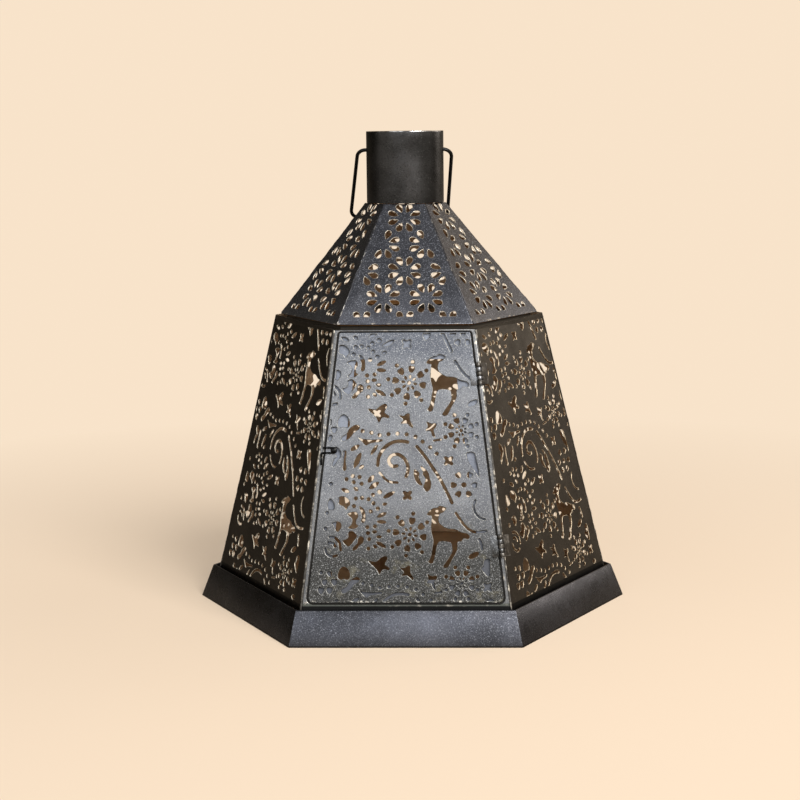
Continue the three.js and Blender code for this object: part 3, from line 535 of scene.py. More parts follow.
DOTS = [
    (-31.7, 79.0), (-27.6, 78.4), (-35.5, 77.1), (-31.2, 75.3), (-26.4, 74.3), (-45.0, 74.2), (-19.6, 67.6),
    (-29.9, 65.5), (-26.2, 65.8), (-22.2, 65.0), (-19.3, 62.6), (-16.7, 59.4), (-21.0, 57.7), (-47.3, 56.8),
    (-48.2, 47.3), (-23.0, 48.2), (-18.4, 48.7), (-22.6, 44.7), (-21.9, 41.0), (-22.4, 35.3), (-31.0, 60.9),
    (-50.9, 21.0), (-25.7, 14.6), (-20.4, 13.5), (-15.5, 12.0), (-10.1, 12.6), (-4.6, 12.9), (0.9, 12.4),
    (6.2, 10.9), (10.5, 7.9), (15.1, 4.5), (19.0, 0.7),
]
BLOSSOM_PLACES = [(1.2, 67.2), (26.1, 87.9), (49.2, 12.1)]


def daisy(x, y, tilt, petal_reach, petal_size, inner_reach, inner_size, dot_reach, missing):
    """Eight hearts round a middle, eight small grains inside them, and a ring of dots outside, less
    the missing ones. The tilt is in degrees."""
    holes = [dot(x, y, 0.3 * petal_size)]
    for k in range(8):
        angle = math.radians(tilt) + k * math.pi / 4
        cosine, sine = math.cos(angle), math.sin(angle)
        holes.append(heart(x + petal_reach * cosine, y + petal_reach * sine, angle, petal_size))
        near, far = inner_reach - inner_size, inner_reach + inner_size
        ends = (x + near * cosine, y + near * sine, x + far * cosine, y + far * sine)
        holes.append(grain(*ends, 1.15 * inner_size, 10))
        if k not in missing:
            holes.append(dot(x + dot_reach * cosine, y + dot_reach * sine))
    return holes


def pattern_repeat():
    """All the holes of one repeat."""
    holes = [shape(points) for points in [DEER, *BIRDS, *LEAVES, *SCROLLS, *BUTTERFLY]]
    for numbers in DAISIES:
        holes += daisy(*numbers)
    holes += [heart(x, y, math.pi / 2, size) for x, y, size in HEART_PLACES]
    holes.append(heart(*LONE_HEART, -math.pi / 2, LONE_HEART_SIZE))
    holes.append(dot(*RING_MIDDLE, RING_DOT))
    for x, y in RING_HEARTS:
        holes.append(heart(x, y, math.atan2(y - RING_MIDDLE[1], x - RING_MIDDLE[0]), RING_HEART))
    holes += [slot(line, width) for width, line in SLOTS]
    holes += [grain(*ends) for ends in GRAINS]
    holes += [dot(x, y) for x, y in DOTS]
    holes += [blossom(x, y) for x, y in BLOSSOM_PLACES]
    return holes


repeat = pattern_repeat()
print("holes in one repeat", len(repeat))

# %% [markdown]
# ## Cutting the pattern to a panel
#
# A panel is a trapezoid, because the sides lean together. A hole that would cross the panel's edge is cut
# off a little way inside it. The panel is convex, so a hole can be cut along one edge after another: each
# cut keeps the points on the inner side and adds a point wherever the outline crosses the line.


# %% Panel outlines and cutting
LEAST_HOLE = 0.5


def trapezoid(side, inset, low, high):
    """The corners of a side's outline: in from the slanted edges by inset, between two heights."""
    slope = math.tan(side["edge_tilt"])
    across = inset / math.cos(side["edge_tilt"])
    low_half = side["foot_half"] - low * slope - across
    high_half = side["foot_half"] - high * slope - across
    return np.array([(-low_half, low), (low_half, low), (high_half, high), (-high_half, high)])


def outline_area(points):
    """Half the sum of the cross products of neighbouring points."""
    x, y = points.T
    return (x @ np.roll(y, -1) - y @ np.roll(x, -1)) / 2


def cut_inside(hole, region):
    """What is left of a hole inside a convex region, or None."""
    for start, end in zip(region, np.roll(region, -1, axis=0)):
        edge = end - start
        off = edge[0] * (hole[:, 1] - start[1]) - edge[1] * (hole[:, 0] - start[0])
        if (off >= 0).all():
            continue
        kept = []
        for k in range(len(hole)):
            after = (k + 1) % len(hole)
            if off[k] >= 0:
                kept.append(hole[k])
            if off[k] * off[after] < 0:
                share = off[k] / (off[k] - off[after])
                kept.append(hole[k] + share * (hole[after] - hole[k]))
        if len(kept) < 3:
            return None
        hole = np.array(kept)
    return hole if abs(outline_area(hole)) > LEAST_HOLE else None


def side_holes(region):
    """The repeats that reach the region, moved up the slope and cut to it."""
    holes = []
    for level in (-1, 0, 1):
        rise = PATTERN_FOOT + level * PATTERN_PITCH
        holes += [cut_inside(hole + [0, rise], region) for hole in repeat]
    return [hole for hole in holes if hole is not None]


# %% [markdown]
# ## Punched sheet
#
# A punch draws the tin down a little at the rim of each hole, and paint wears off there first. A boolean
# for each of the holes would be slow, and a filled curve fails where two holes come close. So a panel is
# made from rings: round each hole a quarter circle turns down from the front face, a short wall follows,
# and a second quarter circle turns out to the back face. Between the rings, the flat faces are filled by a
# Delaunay triangulation that is told which outlines are holes.

# %% Flat sheet with rounded holes
RIM = 0.3
SIDE_RIM = 0.14
RIM_DROP = 0.3
FRONT, RIMS, BACK = 0, 1, 2


def widened(outline, reach, limit=1.6):
    """A counterclockwise outline moved out by reach. Each point goes along the mean of its two edges'
    normals, further where the corner is sharp, so that the edges stay parallel."""
    edge = unit(np.roll(outline, -1, axis=0) - outline)
    mean = unit(edge + np.roll(edge, 1, axis=0))
    stretch = np.minimum(1 / np.maximum((mean * edge).sum(axis=1), 0.01), limit)
    normal = np.stack([mean[:, 1], -mean[:, 0]], axis=1)
    return outline + reach * stretch[:, None] * normal


def rim_rows(rim, thickness, steps):
    """How far out and how high each ring of a rim lies, from the front face to the back. It drops by
    its own width, but by no more than RIM_DROP or a third of the sheet, whichever is more."""
    angle = np.linspace(0, math.pi / 2, steps + 1)
    out = rim * (1 - np.sin(angle))
    low = min(rim, max(RIM_DROP, 0.33 * thickness)) * (1 - np.cos(angle))
    return np.concatenate([out, out[::-1]]), np.concatenate([-low, low[::-1] - thickness])


def sheet_arrays(outline, holes, thickness, rim, steps):
    """The points, four-cornered rim faces with their kinds, and triangles of a sheet whose front face
    lies at height 0."""
    outs, heights = rim_rows(rim, thickness, steps)
    points, faces, kinds, front_ids, back_ids, start = [], [], [], [], [], 0
    for number, loop in enumerate([outline, *holes]):
        loop = loop if outline_area(loop) > 0 else loop[::-1]
        reach, count = outs if number else -outs, len(loop)
        rings = [np.column_stack([widened(loop, out), np.full(count, z)]) for out, z in zip(reach, heights)]
        ring_points, ring_faces = grid_shell(np.array(rings), False, True)
        faces.append((ring_faces if number else ring_faces[:, ::-1]) + start)
        kinds.append(np.full(len(ring_faces), RIMS if number else FRONT))
        points.append(ring_points)
        front_ids.append(np.arange(count) + start)
        back_ids.append(np.arange(count) + start + count * (len(outs) - 1))
        start += len(ring_points)
    points = np.vstack(points)
    triangles = fill_between(points, front_ids)
    to_back = np.zeros(start, int)
    to_back[np.concatenate(front_ids)] = np.concatenate(back_ids)
    return points, np.vstack(faces), np.concatenate(kinds), triangles, to_back[triangles][:, ::-1]


def fill_between(points, loops):
    """Triangles between the first loop and the others. The triangulation says which loops each triangle
    lies in, and those in the first loop alone are the sheet."""
    ids = np.concatenate(loops)
    flat = [Vector(point) for point in points[ids, :2].tolist()]
    counts = np.cumsum([0] + [len(loop) for loop in loops])
    rings = [list(range(low, high)) for low, high in zip(counts, counts[1:])]
    _, _, triangles, sources, _, inside = delaunay_2d_cdt(flat, [], rings, 1, 1e-6, True)
    if not all(sources):
        print("rims cross at", sources.count([]), "points")
    kept = [face for face, loops_round in zip(triangles, inside) if list(loops_round) == [0]]
    kept = [[sources[corner] for corner in face] for face in kept]
    return ids[np.array([[corner[0] for corner in face] for face in kept if all(face)])]


def sheet_mesh(name, outline, holes, thickness, rim=RIM, steps=2):
    """The sheet as a mesh, with its flat faces kept flat and its rims smooth."""
    points, rims, kinds, front_faces, back_faces = sheet_arrays(outline, holes, thickness, rim, steps)
    mesh = bpy.data.meshes.new(name)
    mesh.from_pydata(points.tolist(), [], rims.tolist() + front_faces.tolist() + back_faces.tolist())
    flat_kinds = [np.full(len(front_faces), FRONT), np.full(len(back_faces), BACK)]
    mesh.polygons.foreach_set("material_index", np.concatenate([kinds, *flat_kinds]))
    mesh.polygons.foreach_set("use_smooth", np.arange(len(mesh.polygons)) < len(rims))
    return mesh


def mesh_points(mesh):
    """A mesh's points as an (n, 3) array."""
    points = np.empty(len(mesh.vertices) * 3)
    mesh.vertices.foreach_get("co", points)
    return points.reshape(-1, 3)


def move_mesh(mesh, move):
    """Puts a mesh's points where move says, and turns millimetres into metres."""
    points = move(mesh_points(mesh)) * METRES
    mesh.vertices.foreach_set("co", points.ravel())
    mesh.update()


def unmoved(points):
    """Points left where they are."""
    return points


def sheet_piece(name, side, mesh, body, nodes, settle=unmoved):
    """A copy of a panel's mesh, placed on one side of the lantern, and settled there."""
    mesh = mesh.copy()
    move_mesh(mesh, lambda points: settle(place_on(side, points)))
    return add_piece(name, mesh, body, nodes)


# %% [markdown]
# ## Side panels and door leaf
#
# The five fixed sides fill their trapezoid up to the soldered corners. The door leaf is smaller, with
# round corners at its foot. It stops a millimetre short of the frame's lip, and half that at the head.

# %% Side panels
PIERCED_SHEET = 0.6
SIDE_NAMES = ["front", "front_right", "back_right", "back", "back_left", "front_left"]
HOLE_MARGIN = 1.6
HOLE_FOOT = 6.4


def panels(kind, sides, mesh, settle, indexes):
    """The same sheet on several sides, each in place of the frame's panel there."""
    return [
        sheet_piece(f"{kind}_{SIDE_NAMES[index]}", sides[index], mesh, "root",
                    [f"{kind}_panel_{SIDE_NAMES[index]}"], settle)
        for index in indexes
    ]


side_edge = SHEET * math.tan(front["turn"] / 2) + SEAM
side_outline = trapezoid(front, side_edge, 0, front["length"])
side_region = trapezoid(front, side_edge + HOLE_MARGIN, HOLE_FOOT, front["length"] - HOLE_MARGIN)
panel_holes = side_holes(side_region)
side_mesh = sheet_mesh("side", side_outline, panel_holes, PIERCED_SHEET, SIDE_RIM)
side_panels = panels("side", body_sides, side_mesh, raised_head, range(1, 6))
open_area = sum(abs(outline_area(hole)) for hole in panel_holes)
print("each side has", len(panel_holes), "holes and", len(side_mesh.polygons), "faces")
print("holes open", round(open_area), "of", round(outline_area(side_outline)), "square mm of a side")

# %% Door leaf
LIP_WIDTH = 2.9
LIP_FOOT = 6.0
LIP_HEAD = 1.1
DOOR_GAP = 1.0
HEAD_GAP = 0.45
DOOR_CORNERS = [3.0, 3.0, 1.2, 1.2]
DOOR_MARGIN = 0.9
lip_head = front["length"] - LIP_HEAD


def door_trapezoid(margin):
    """The door leaf's outline with sharp corners, drawn in by a margin all round."""
    inset = LIP_WIDTH + DOOR_GAP + margin
    return trapezoid(front, inset, LIP_FOOT + DOOR_GAP + margin, lip_head - HEAD_GAP - margin)


door_outline = rounded(door_trapezoid(0), DOOR_CORNERS)
door_holes = side_holes(door_trapezoid(DOOR_MARGIN))
door_mesh = sheet_mesh("door", door_outline, door_holes, SHEET)
door_leaf = sheet_piece("door_leaf", front, door_mesh, "door", ["door_panel"])
print("the door has", len(door_holes), "holes and", len(door_mesh.polygons), "faces")

# %% [markdown]
# ## Roof panels
#
# The roof is punched with rosettes of eight teardrops. The rosettes stand in rows, and each row is shifted
# by half a step from the one below, so four neighbours share the gaps between them.

# %% Roof panels
ROSETTE_ACROSS = 26.3
ROSETTE_UP = 19.3
ROSETTE_FOOT = -1.2
ROSETTE_ROWS, ROSETTE_COLUMNS, PETALS = 6, 7, 8
PETAL_INNER, PETAL_OUTER, PETAL_WIDTH = 4.2, 10.7, 3.9
PETAL_MARGIN = 6.2
LEAST_PETAL = 3.0
ROOF_MARGIN = 2.2
ROOF_HOLE_FOOT, ROOF_HOLE_HEAD = 5.2, 0.6
ROOF_RIM_WIDTH = 0.15


def rosettes(region):
    """Eight teardrops round each middle, in rows that are shifted by half a step in turn. A teardrop
    whose middle is too near a slanted edge is left out."""
    tilt = roof_front["edge_tilt"]
    reach = (PETAL_INNER + PETAL_OUTER) / 2
    holes = []
    for row, column, k in np.ndindex(ROSETTE_ROWS, ROSETTE_COLUMNS, PETALS):
        x = (column - ROSETTE_COLUMNS // 2 + 0.5 * (row % 2)) * ROSETTE_ACROSS
        y = ROSETTE_FOOT + row * ROSETTE_UP
        angle = (k + 0.5) * 2 * math.pi / PETALS
        edge_x = roof_front["foot_half"] - (y + reach * math.sin(angle)) * math.tan(tilt)
        if (edge_x - abs(x + reach * math.cos(angle))) * math.cos(tilt) < PETAL_MARGIN:
            continue
        hole = cut_inside(drop(x, y, angle, PETAL_INNER, PETAL_OUTER, PETAL_WIDTH), region)
        if hole is not None and abs(outline_area(hole)) > LEAST_PETAL:
            holes.append(hole)
    return holes


roof_edge = SHEET * math.tan(roof_front["turn"] / 2) + SEAM
roof_outline = trapezoid(roof_front, roof_edge, 0, roof_front["length"])
roof_head = roof_front["length"] - ROOF_HOLE_HEAD
roof_holes = rosettes(trapezoid(roof_front, roof_edge + ROOF_MARGIN, ROOF_HOLE_FOOT, roof_head))
roof_mesh = sheet_mesh("roof", roof_outline, roof_holes, PIERCED_SHEET, ROOF_RIM_WIDTH)
roof_panels = panels("roof", roof_sides, roof_mesh, pulled_over, range(6))
print("each roof panel has", len(roof_holes), "holes and", len(roof_mesh.polygons), "faces")

# %% [markdown]
# ## Door frame
#
# The frame is one stamping. A lip with well-rounded edges stands round the leaf, wide at the foot and
# narrow at the head. Behind it a flat flange reaches further in, and the leaf closes in front of it. The
# flange shows through the outer holes of the leaf as a second, paler surface. A thin black strip in the
# gap round the leaf is painted shade for that deep gap, and this dark line is what makes the door read as a
# door.

# %% Door frame
FRAME_DEPTH = 1.9
FRAME_ROOM = 0.1
LIP_RIM = 0.5
OPENING_SIDE, OPENING_FOOT, OPENING_HEAD = 15.5, 20.7, 17.9
OPENING_CORNER = 4.0
FLANGE_DEPTH = FRAME_DEPTH - 0.05
FLANGE_SHEET = SHEET - 0.1
FLANGE_RIM = 0.2
FLANGE_INSET = 1.6
GROOVE_DEPTH = 1.05
GROOVE_SHEET = 0.1
GROOVE_RIM = 0.03
GROOVE_OUT = 0.3
GROOVE_IN = 0.6


def join_meshes(name, meshes):
    """One mesh out of several."""
    work = bmesh.new()
    for mesh in meshes:
        work.from_mesh(mesh)
    joined = bpy.data.meshes.new(name)
    work.to_mesh(joined)
    work.free()
    return joined


frame_edge = side_edge + FRAME_ROOM
frame_outline = trapezoid(front, frame_edge, 0, front["length"])
lip_hole = rounded(
    trapezoid(front, LIP_WIDTH, LIP_FOOT, lip_head), [radius + DOOR_GAP for radius in DOOR_CORNERS]
)
opening = trapezoid(front, OPENING_SIDE, OPENING_FOOT, front["length"] - OPENING_HEAD)
lip = sheet_mesh("lip", frame_outline, [lip_hole], FRAME_DEPTH, LIP_RIM, steps=4)
flange_outline = trapezoid(front, frame_edge, FLANGE_INSET, front["length"] - FLANGE_INSET)
opening = rounded(opening, [OPENING_CORNER] * 4)
flange = sheet_mesh("flange", flange_outline, [opening], FLANGE_SHEET, FLANGE_RIM)
# A thin black sheet in the gap round the leaf, which only paints the gap's shade.
groove_hole = widened(door_outline, -GROOVE_IN)
gap_shade = sheet_mesh("gap_shade", widened(lip_hole, GROOVE_OUT), [groove_hole], GROOVE_SHEET, GROOVE_RIM)
for part, (mesh, depth) in enumerate([(lip, 0), (flange, FLANGE_DEPTH), (gap_shade, GROOVE_DEPTH)]):
    move_mesh(mesh, lambda points, depth=depth: place_on(front, points - [0, 0, depth]))
    mesh.polygons.foreach_set("material_index", np.full(len(mesh.polygons), part))
frame_mesh = join_meshes("frame", [lip, flange, gap_shade])
door_frame = add_piece("frame", frame_mesh, "root", ["door_frame"])

# %% [markdown]
# ## Plinth
#
# The skirt is one band of sheet, bent at six corners. Its top edge is folded in and down, which gives a
# rounded bright line, and a flange is turned in at the foot. As a surface it is a closed profile carried
# round a hexagon whose corners are slightly rounded.

# %% Plinth skirt
CORNER_FILLET = 1.3
FOOT_ROUND = 0.5
FOOT_ROUND_INSET = 0.55


def arc_points(centre, radius, start, end, steps):
    """Points on an arc, angles in degrees."""
    angle = np.radians(np.linspace(start, end, steps + 1))
    return [(centre[0] + radius * math.cos(a), centre[1] + radius * math.sin(a)) for a in angle]


def skirt_profile():
    """Up the outside, over the fold, down inside the hem, down the wall's inside and round the flange."""
    foot_flat = PLINTH_FOOT_RADIUS * CORNER_TO_FLAT
    top_flat = PLINTH_TOP_RADIUS * CORNER_TO_FLAT
    lean = math.atan2(foot_flat - top_flat, PLINTH_HEIGHT)
    wall = PLINTH_SHEET / math.cos(lean)
    start = math.degrees(lean)

    def face_at(height):
        return foot_flat + (top_flat - foot_flat) * height / PLINTH_HEIGHT

    fold_height = PLINTH_HEIGHT - PLINTH_SHEET
    hem_foot = PLINTH_HEIGHT - HEM_DEPTH
    return [
        *arc_points((face_at(FOOT_ROUND) - FOOT_ROUND_INSET, FOOT_ROUND), FOOT_ROUND, -90, start, steps=3),
        *arc_points((face_at(fold_height) - wall, fold_height), PLINTH_SHEET, start, 180 + start, steps=8),
        (face_at(hem_foot) - 2 * wall, hem_foot),
        (face_at(hem_foot) - wall, hem_foot),
        (face_at(PLINTH_SHEET) - wall, PLINTH_SHEET),
        (foot_flat - FOOT_FLANGE, PLINTH_SHEET),
        (foot_flat - FOOT_FLANGE, 0.0),
    ]


skirt = hexagon_ring(skirt_profile(), CORNER_FILLET)
plinth = make_piece("plinth", [skirt], "root", ["plinth_skirt"])
print("plinth", [round(size / METRES, 1) for size in plinth.dimensions], "mm")

# %% [markdown]
# ## Flue tube and bail
#
# The flue is a tube with a small rolled lip at the top. A wire bail turns in two holes in its sides.
# The holes are cut with a boolean, because a round hole through a grid of quads has no simple formula.

# %% Flue tube
BAIL_RISE = 33.4
BAIL_WIRE = 1.15
BAIL_HOLE = 1.4
DRILL_HALF = 60
LIP_ARC = (20, 160)
bail_height = FLUE_FOOT + BAIL_RISE


def flue_profile():
    """Up the outside, over the rolled lip and down the inside."""
    lip_radius = FLUE_SHEET / 2
    middle = (FLUE_RADIUS - lip_radius, FLUE_TOP - lip_radius)
    heights = np.linspace(FLUE_FOOT, middle[1], 12)
    outer = [(FLUE_RADIUS, height) for height in heights]
    inner = [(FLUE_RADIUS - FLUE_SHEET, height) for height in heights[::-1]]
    return outer + arc_points(middle, lip_radius, *LIP_ARC, steps=6) + inner


flue_points, flue_faces = lathe(flue_profile(), steps=120)
flue_shell = (flue_points + FLUE_SHIFT, flue_faces)
flue = make_piece("flue", [flue_shell], "root", ["flue_tube"])
drill_profile = [(0, -DRILL_HALF), (BAIL_HOLE, -DRILL_HALF), (BAIL_HOLE, DRILL_HALF), (0, DRILL_HALF)]
drill_points, drill_faces = lathe(drill_profile, steps=24)
drill_shell = (drill_points[:, [2, 1, 0]] + UP * bail_height, drill_faces)
drill = make_piece("drill", [drill_shell], "root")
cut = flue.modifiers.new("bail holes", "BOOLEAN")
cut.operation = "DIFFERENCE"
cut.object = drill
bpy.context.view_layer.update()
cut_mesh = bpy.data.meshes.new_from_object(flue.evaluated_get(bpy.context.evaluated_depsgraph_get()))
flue.modifiers.clear()
flue.data = cut_mesh
bpy.data.objects.remove(drill)
cut_mesh.set_sharp_from_angle(angle=math.radians(SHARP))
print("flue faces", len(cut_mesh.polygons))

# %% Bail
BAIL_LENGTH = 54.7
BAIL_REACH = 5.4
BAIL_SPLAY = 1.9
BAIL_SKEW = 5.5
BAIL_BEND = 5.5
BAIL_TIP = 4.0
BAIL_SEAT = 0.07


def bail_rest_angle():
    """How far the loop swings from straight down until its cross wire rests on the rear roof panel."""
    lean = roof_front["lean"]
    flat = ROOF_TOP_RADIUS * CORNER_TO_FLAT
    rise = bail_height - ROOF_TOP
    off = BAIL_WIRE + BAIL_SEAT + flat * math.cos(lean) - rise * math.sin(lean)
    return lean + math.asin(off / BAIL_LENGTH)


def bail_route():
    """The loop in its own plane, swung about the pivots."""
    inner = FLUE_RADIUS - FLUE_SHEET - BAIL_TIP
    shoulder = FLUE_RADIUS + BAIL_REACH
    foot = shoulder + BAIL_SPLAY
    corners = [
        (-inner, 0, 0), (-shoulder, 0, 0), (-foot - BAIL_SKEW, 0, -BAIL_LENGTH),
        (foot - BAIL_SKEW, 0, -BAIL_LENGTH), (shoulder, 0, 0), (inner, 0, 0),
    ]
    route = bent(corners, BAIL_BEND, steps=10)
    angle = bail_rest_angle()
    x, _, z = route.T
    return np.stack([x, -z * math.sin(angle), z * math.cos(angle) + bail_height], axis=1) + FLUE_SHIFT


bail = make_piece("bail_wire", [wire_shell(bail_route(), BAIL_WIRE, sides=20)], "bail", ["bail"])
print("bail", [round(size / METRES, 1) for size in bail.dimensions], "mm")

# %% [markdown]
# ## Hinges
#
# Each small butt hinge has a door leaf with two knuckles, a frame leaf with three, bent round onto the
# neighbouring side, and a pin with flattened ends. The knuckles are short tubes with softened rims, and
# the leaves are flat plates with notches where the other leaf's knuckles turn.

# %% Hinge parts
HINGE_INSET = 1.7
BARREL = 1.6
BARREL_SOFT = 0.22
PIN = 0.55
PIN_ROOM = 0.25
HINGE_LENGTH = 13.0
HINGE_SHEET = 0.6
HINGE_RIM = 0.12
HINGE_LEAF = 4.2
HINGE_WRAP = 5.6
NOTCH_ROOM = 0.35
PLATE_SHORT = 0.2
SEAT = 0.3
KNUCKLES = 5
HINGE_RISES = {"lower": 40.9, "upper": front["length"] - 27.2}
knuckle_length = (HINGE_LENGTH - (KNUCKLES - 1) * SEAT) / KNUCKLES
pin_height = BARREL + SEAT


def knuckle_middle(index):
    """Where a knuckle's middle lies along the pin."""
    return (knuckle_length + SEAT) * (index - (KNUCKLES - 1) / 2)


def turned_part(upper_half, middle, steps):
    """A part turned about the pin's line, from the upper half of its profile and that half's mirror
    image."""
    points, faces = lathe([(radius, -rise) for radius, rise in upper_half] + upper_half[::-1], steps)
    return points[:, [1, 2, 0]] + [0, middle, pin_height], faces


def knuckle(index):
    """A short tube with softened rims."""
    half, soft = knuckle_length / 2, BARREL_SOFT
    rim = [(BARREL - soft, half), (BARREL - 0.3 * soft, half - 0.3 * soft), (BARREL, half - soft)]
    return turned_part([(PIN + PIN_ROOM, half), *rim], knuckle_middle(index), steps=28)


def notched_plate(near, far, own, notch, place):
    """A plate from near to far across, with notches at the knuckles that aren't its own. Its faces are
    rows of four corners, so a triangle repeats its last one."""
    end = HINGE_LENGTH / 2
    outline = [(far, end), (far, -end)]
    for index in range(KNUCKLES):
        reach, spare = (near, 0) if index in own else (notch, SEAT)
        middle, half = knuckle_middle(index), knuckle_length / 2 + spare
        outline += [(reach, max(middle - half, -end)), (reach, min(middle + half, end))]
    mesh = sheet_mesh("plate", np.array(outline), [], HINGE_SHEET, HINGE_RIM)
    faces = [list(polygon.vertices) for polygon in mesh.polygons]
    return place(mesh_points(mesh) + UP * (SEAT + HINGE_SHEET)), np.array([(f + f[-1:])[:4] for f in faces])


def hinge_to_world(points, rise):
    """From a hinge's own axes, pin along Y and out along Z, to its place on the front side."""
    tilt = front["edge_tilt"]
    x, y, z = points.T
    place_x = front["foot_half"] - rise * math.tan(tilt) - HINGE_INSET / math.cos(tilt)
    flat_x = place_x + x * math.cos(tilt) - y * math.sin(tilt)
    flat_y = rise + x * math.sin(tilt) + y * math.cos(tilt)
    return place_on(front, np.stack([flat_x, flat_y, z], axis=1))


def wrap_round(points):
    """Turns the frame leaf about the corner line, onto the neighbouring side."""
    cosine, sine = math.cos(front["turn"]), math.sin(front["turn"])
    x, y, z = points.T
    return np.stack([x * cosine + z * sine + HINGE_INSET, y, z * cosine - x * sine], axis=1)


def hinge_shells(part):
    """The shells of a hinge's door leaf, frame leaf or pin, in the hinge's own axes. For the frame leaf,
    along and off say where the pin lies before the leaf is wrapped round the corner."""
    clear = BARREL + NOTCH_ROOM
    if part == "pin":
        end = HINGE_LENGTH / 2 + SEAT
        head = [(0, end + 0.5), (0.75, end + 0.5), (1.0, end + 0.25), (1.0, end)]
        return [turned_part([*head, (PIN, end)], 0, steps=20)]
    if part == "door":
        own = [1, 3]
        leaf = notched_plate(-PLATE_SHORT, -BARREL - HINGE_LEAF, own, -clear, unmoved)
    else:
        own = [0, 2, 4]
        cosine, sine = math.cos(front["turn"]), math.sin(front["turn"])
        along = -HINGE_INSET * cosine - pin_height * sine
        off = pin_height * cosine - HINGE_INSET * sine
        notch = along + math.sqrt(clear ** 2 - (SEAT - off) ** 2)
        leaf = notched_plate(along, HINGE_WRAP, own, notch, wrap_round)
    return [leaf] + [knuckle(index) for index in own]


# %% Both hinges
HINGE_PARTS = [
    ("door", "door", "door_leaf", "hinge_steel"),
    ("frame", "root", "frame_leaf", "hinge_steel"),
    ("pin", "root", "pin", "wire"),
]
hinge_pieces = []
for level, rise in HINGE_RISES.items():
    for part, body, node_end, slot_name in HINGE_PARTS:
        shells = [(hinge_to_world(points, rise), faces) for points, faces in hinge_shells(part)]
        nodes = [f"hinge_{level}_{node_end}"]
        hinge_pieces.append(make_piece(f"{level}_hinge_{part}", shells, body, nodes))
print("hinge pieces", len(hinge_pieces))

# %% [markdown]
# ## Hook latch
#
# The hook is one wire, bent double round a headed pivot on the door. Its long end turns down beside the
# keeper, a wire peg on the frame, so that the door can't swing until the hook is lifted.

# %% Latch
LATCH_RISE = 98.7
LATCH_WIRE = 0.5
HOOK_WIRE = 0.6
HOOK_INSET = 9.0
HOOK_EYE = 1.5
HOOK_REACH = 7.6
HOOK_DROP = 8.7
HOOK_BEND = 1.2
HOOK_GAP = 0.4
KEEPER_RISE = 14.7
KEEPER_BEND = 0.9
PEG_LENGTH = 3.4
PIVOT_FLANGE = 2.0
PIVOT_SOFT = 0.1
PIVOT_DOME = [(1.7, 0.0), (1.6, 0.25), (1.2, 0.5), (0.6, 0.6), (0.0, 0.6)]
keeper_height = SEAT + LATCH_WIRE
hook_height = keeper_height + 2 * LATCH_WIRE + SEAT
peg_x = -HOOK_REACH + 2 * LATCH_WIRE + HOOK_GAP
peg_drop = HOOK_EYE + 2 * LATCH_WIRE + SEAT


def latch_to_world(points):
    """From the latch's own axes, with the pivot at the origin, to the front side."""
    tilt = front["edge_tilt"]
    place_x = -front["foot_half"] + LATCH_RISE * math.tan(tilt) + HOOK_INSET / math.cos(tilt)
    return place_on(front, points + [place_x, LATCH_RISE, 0])


def hook_route():
    """Along the upper strand, half round the pivot, back along the lower strand and down."""
    swing = np.linspace(math.pi / 2, -math.pi / 2, 15)
    eye = np.stack([HOOK_EYE * np.cos(swing), HOOK_EYE * np.sin(swing), 0 * swing], axis=1)
    lower = bent([(0, -HOOK_EYE, 0), (-HOOK_REACH, -HOOK_EYE, 0), (-HOOK_REACH, -HOOK_DROP, 0)], HOOK_BEND)
    return np.vstack([[(-HOOK_REACH + HOOK_BEND, HOOK_EYE, 0)], eye, lower[1:]]) + UP * hook_height


def pivot_profile():
    """A flanged stud with a domed head."""
    shank = HOOK_EYE - LATCH_WIRE - HOOK_GAP
    top = hook_height - LATCH_WIRE - HOOK_GAP
    head = hook_height + LATCH_WIRE + HOOK_GAP
    dome = [(radius, head + rise) for radius, rise in PIVOT_DOME]
    return [
        (0, SEAT), (PIVOT_FLANGE, SEAT), (PIVOT_FLANGE, top - PIVOT_SOFT),
        (PIVOT_FLANGE - PIVOT_SOFT, top), (shank, top), (shank, head), *dome,
    ]


def latch_wire(name, route, radius, body, node_name):
    """A bent wire of the latch."""
    shell = wire_shell(latch_to_world(route), radius, sides=14)
    return make_piece(name, [shell], body, [node_name])


pivot_points, pivot_faces = lathe(pivot_profile(), steps=28)
pivot_shell = (latch_to_world(pivot_points), pivot_faces)
latch_pivot = make_piece("pivot", [pivot_shell], "door", ["latch_pivot"])
hook = latch_wire("hook", hook_route(), HOOK_WIRE, "hook", "latch_hook")
keeper_route = bent([
    (peg_x, KEEPER_RISE, keeper_height), (peg_x, -peg_drop, keeper_height),
    (peg_x, -peg_drop, keeper_height + PEG_LENGTH),
], KEEPER_BEND)
keeper = latch_wire("keeper", keeper_route, LATCH_WIRE, "root", "latch_keeper")

# %% [markdown]
# ## Candle cup
#
# A shallow cup for a small candle is riveted to the middle of the floor. Its rim is rounded, and
# the rivet's head is sunk, so that the candle stands flat.

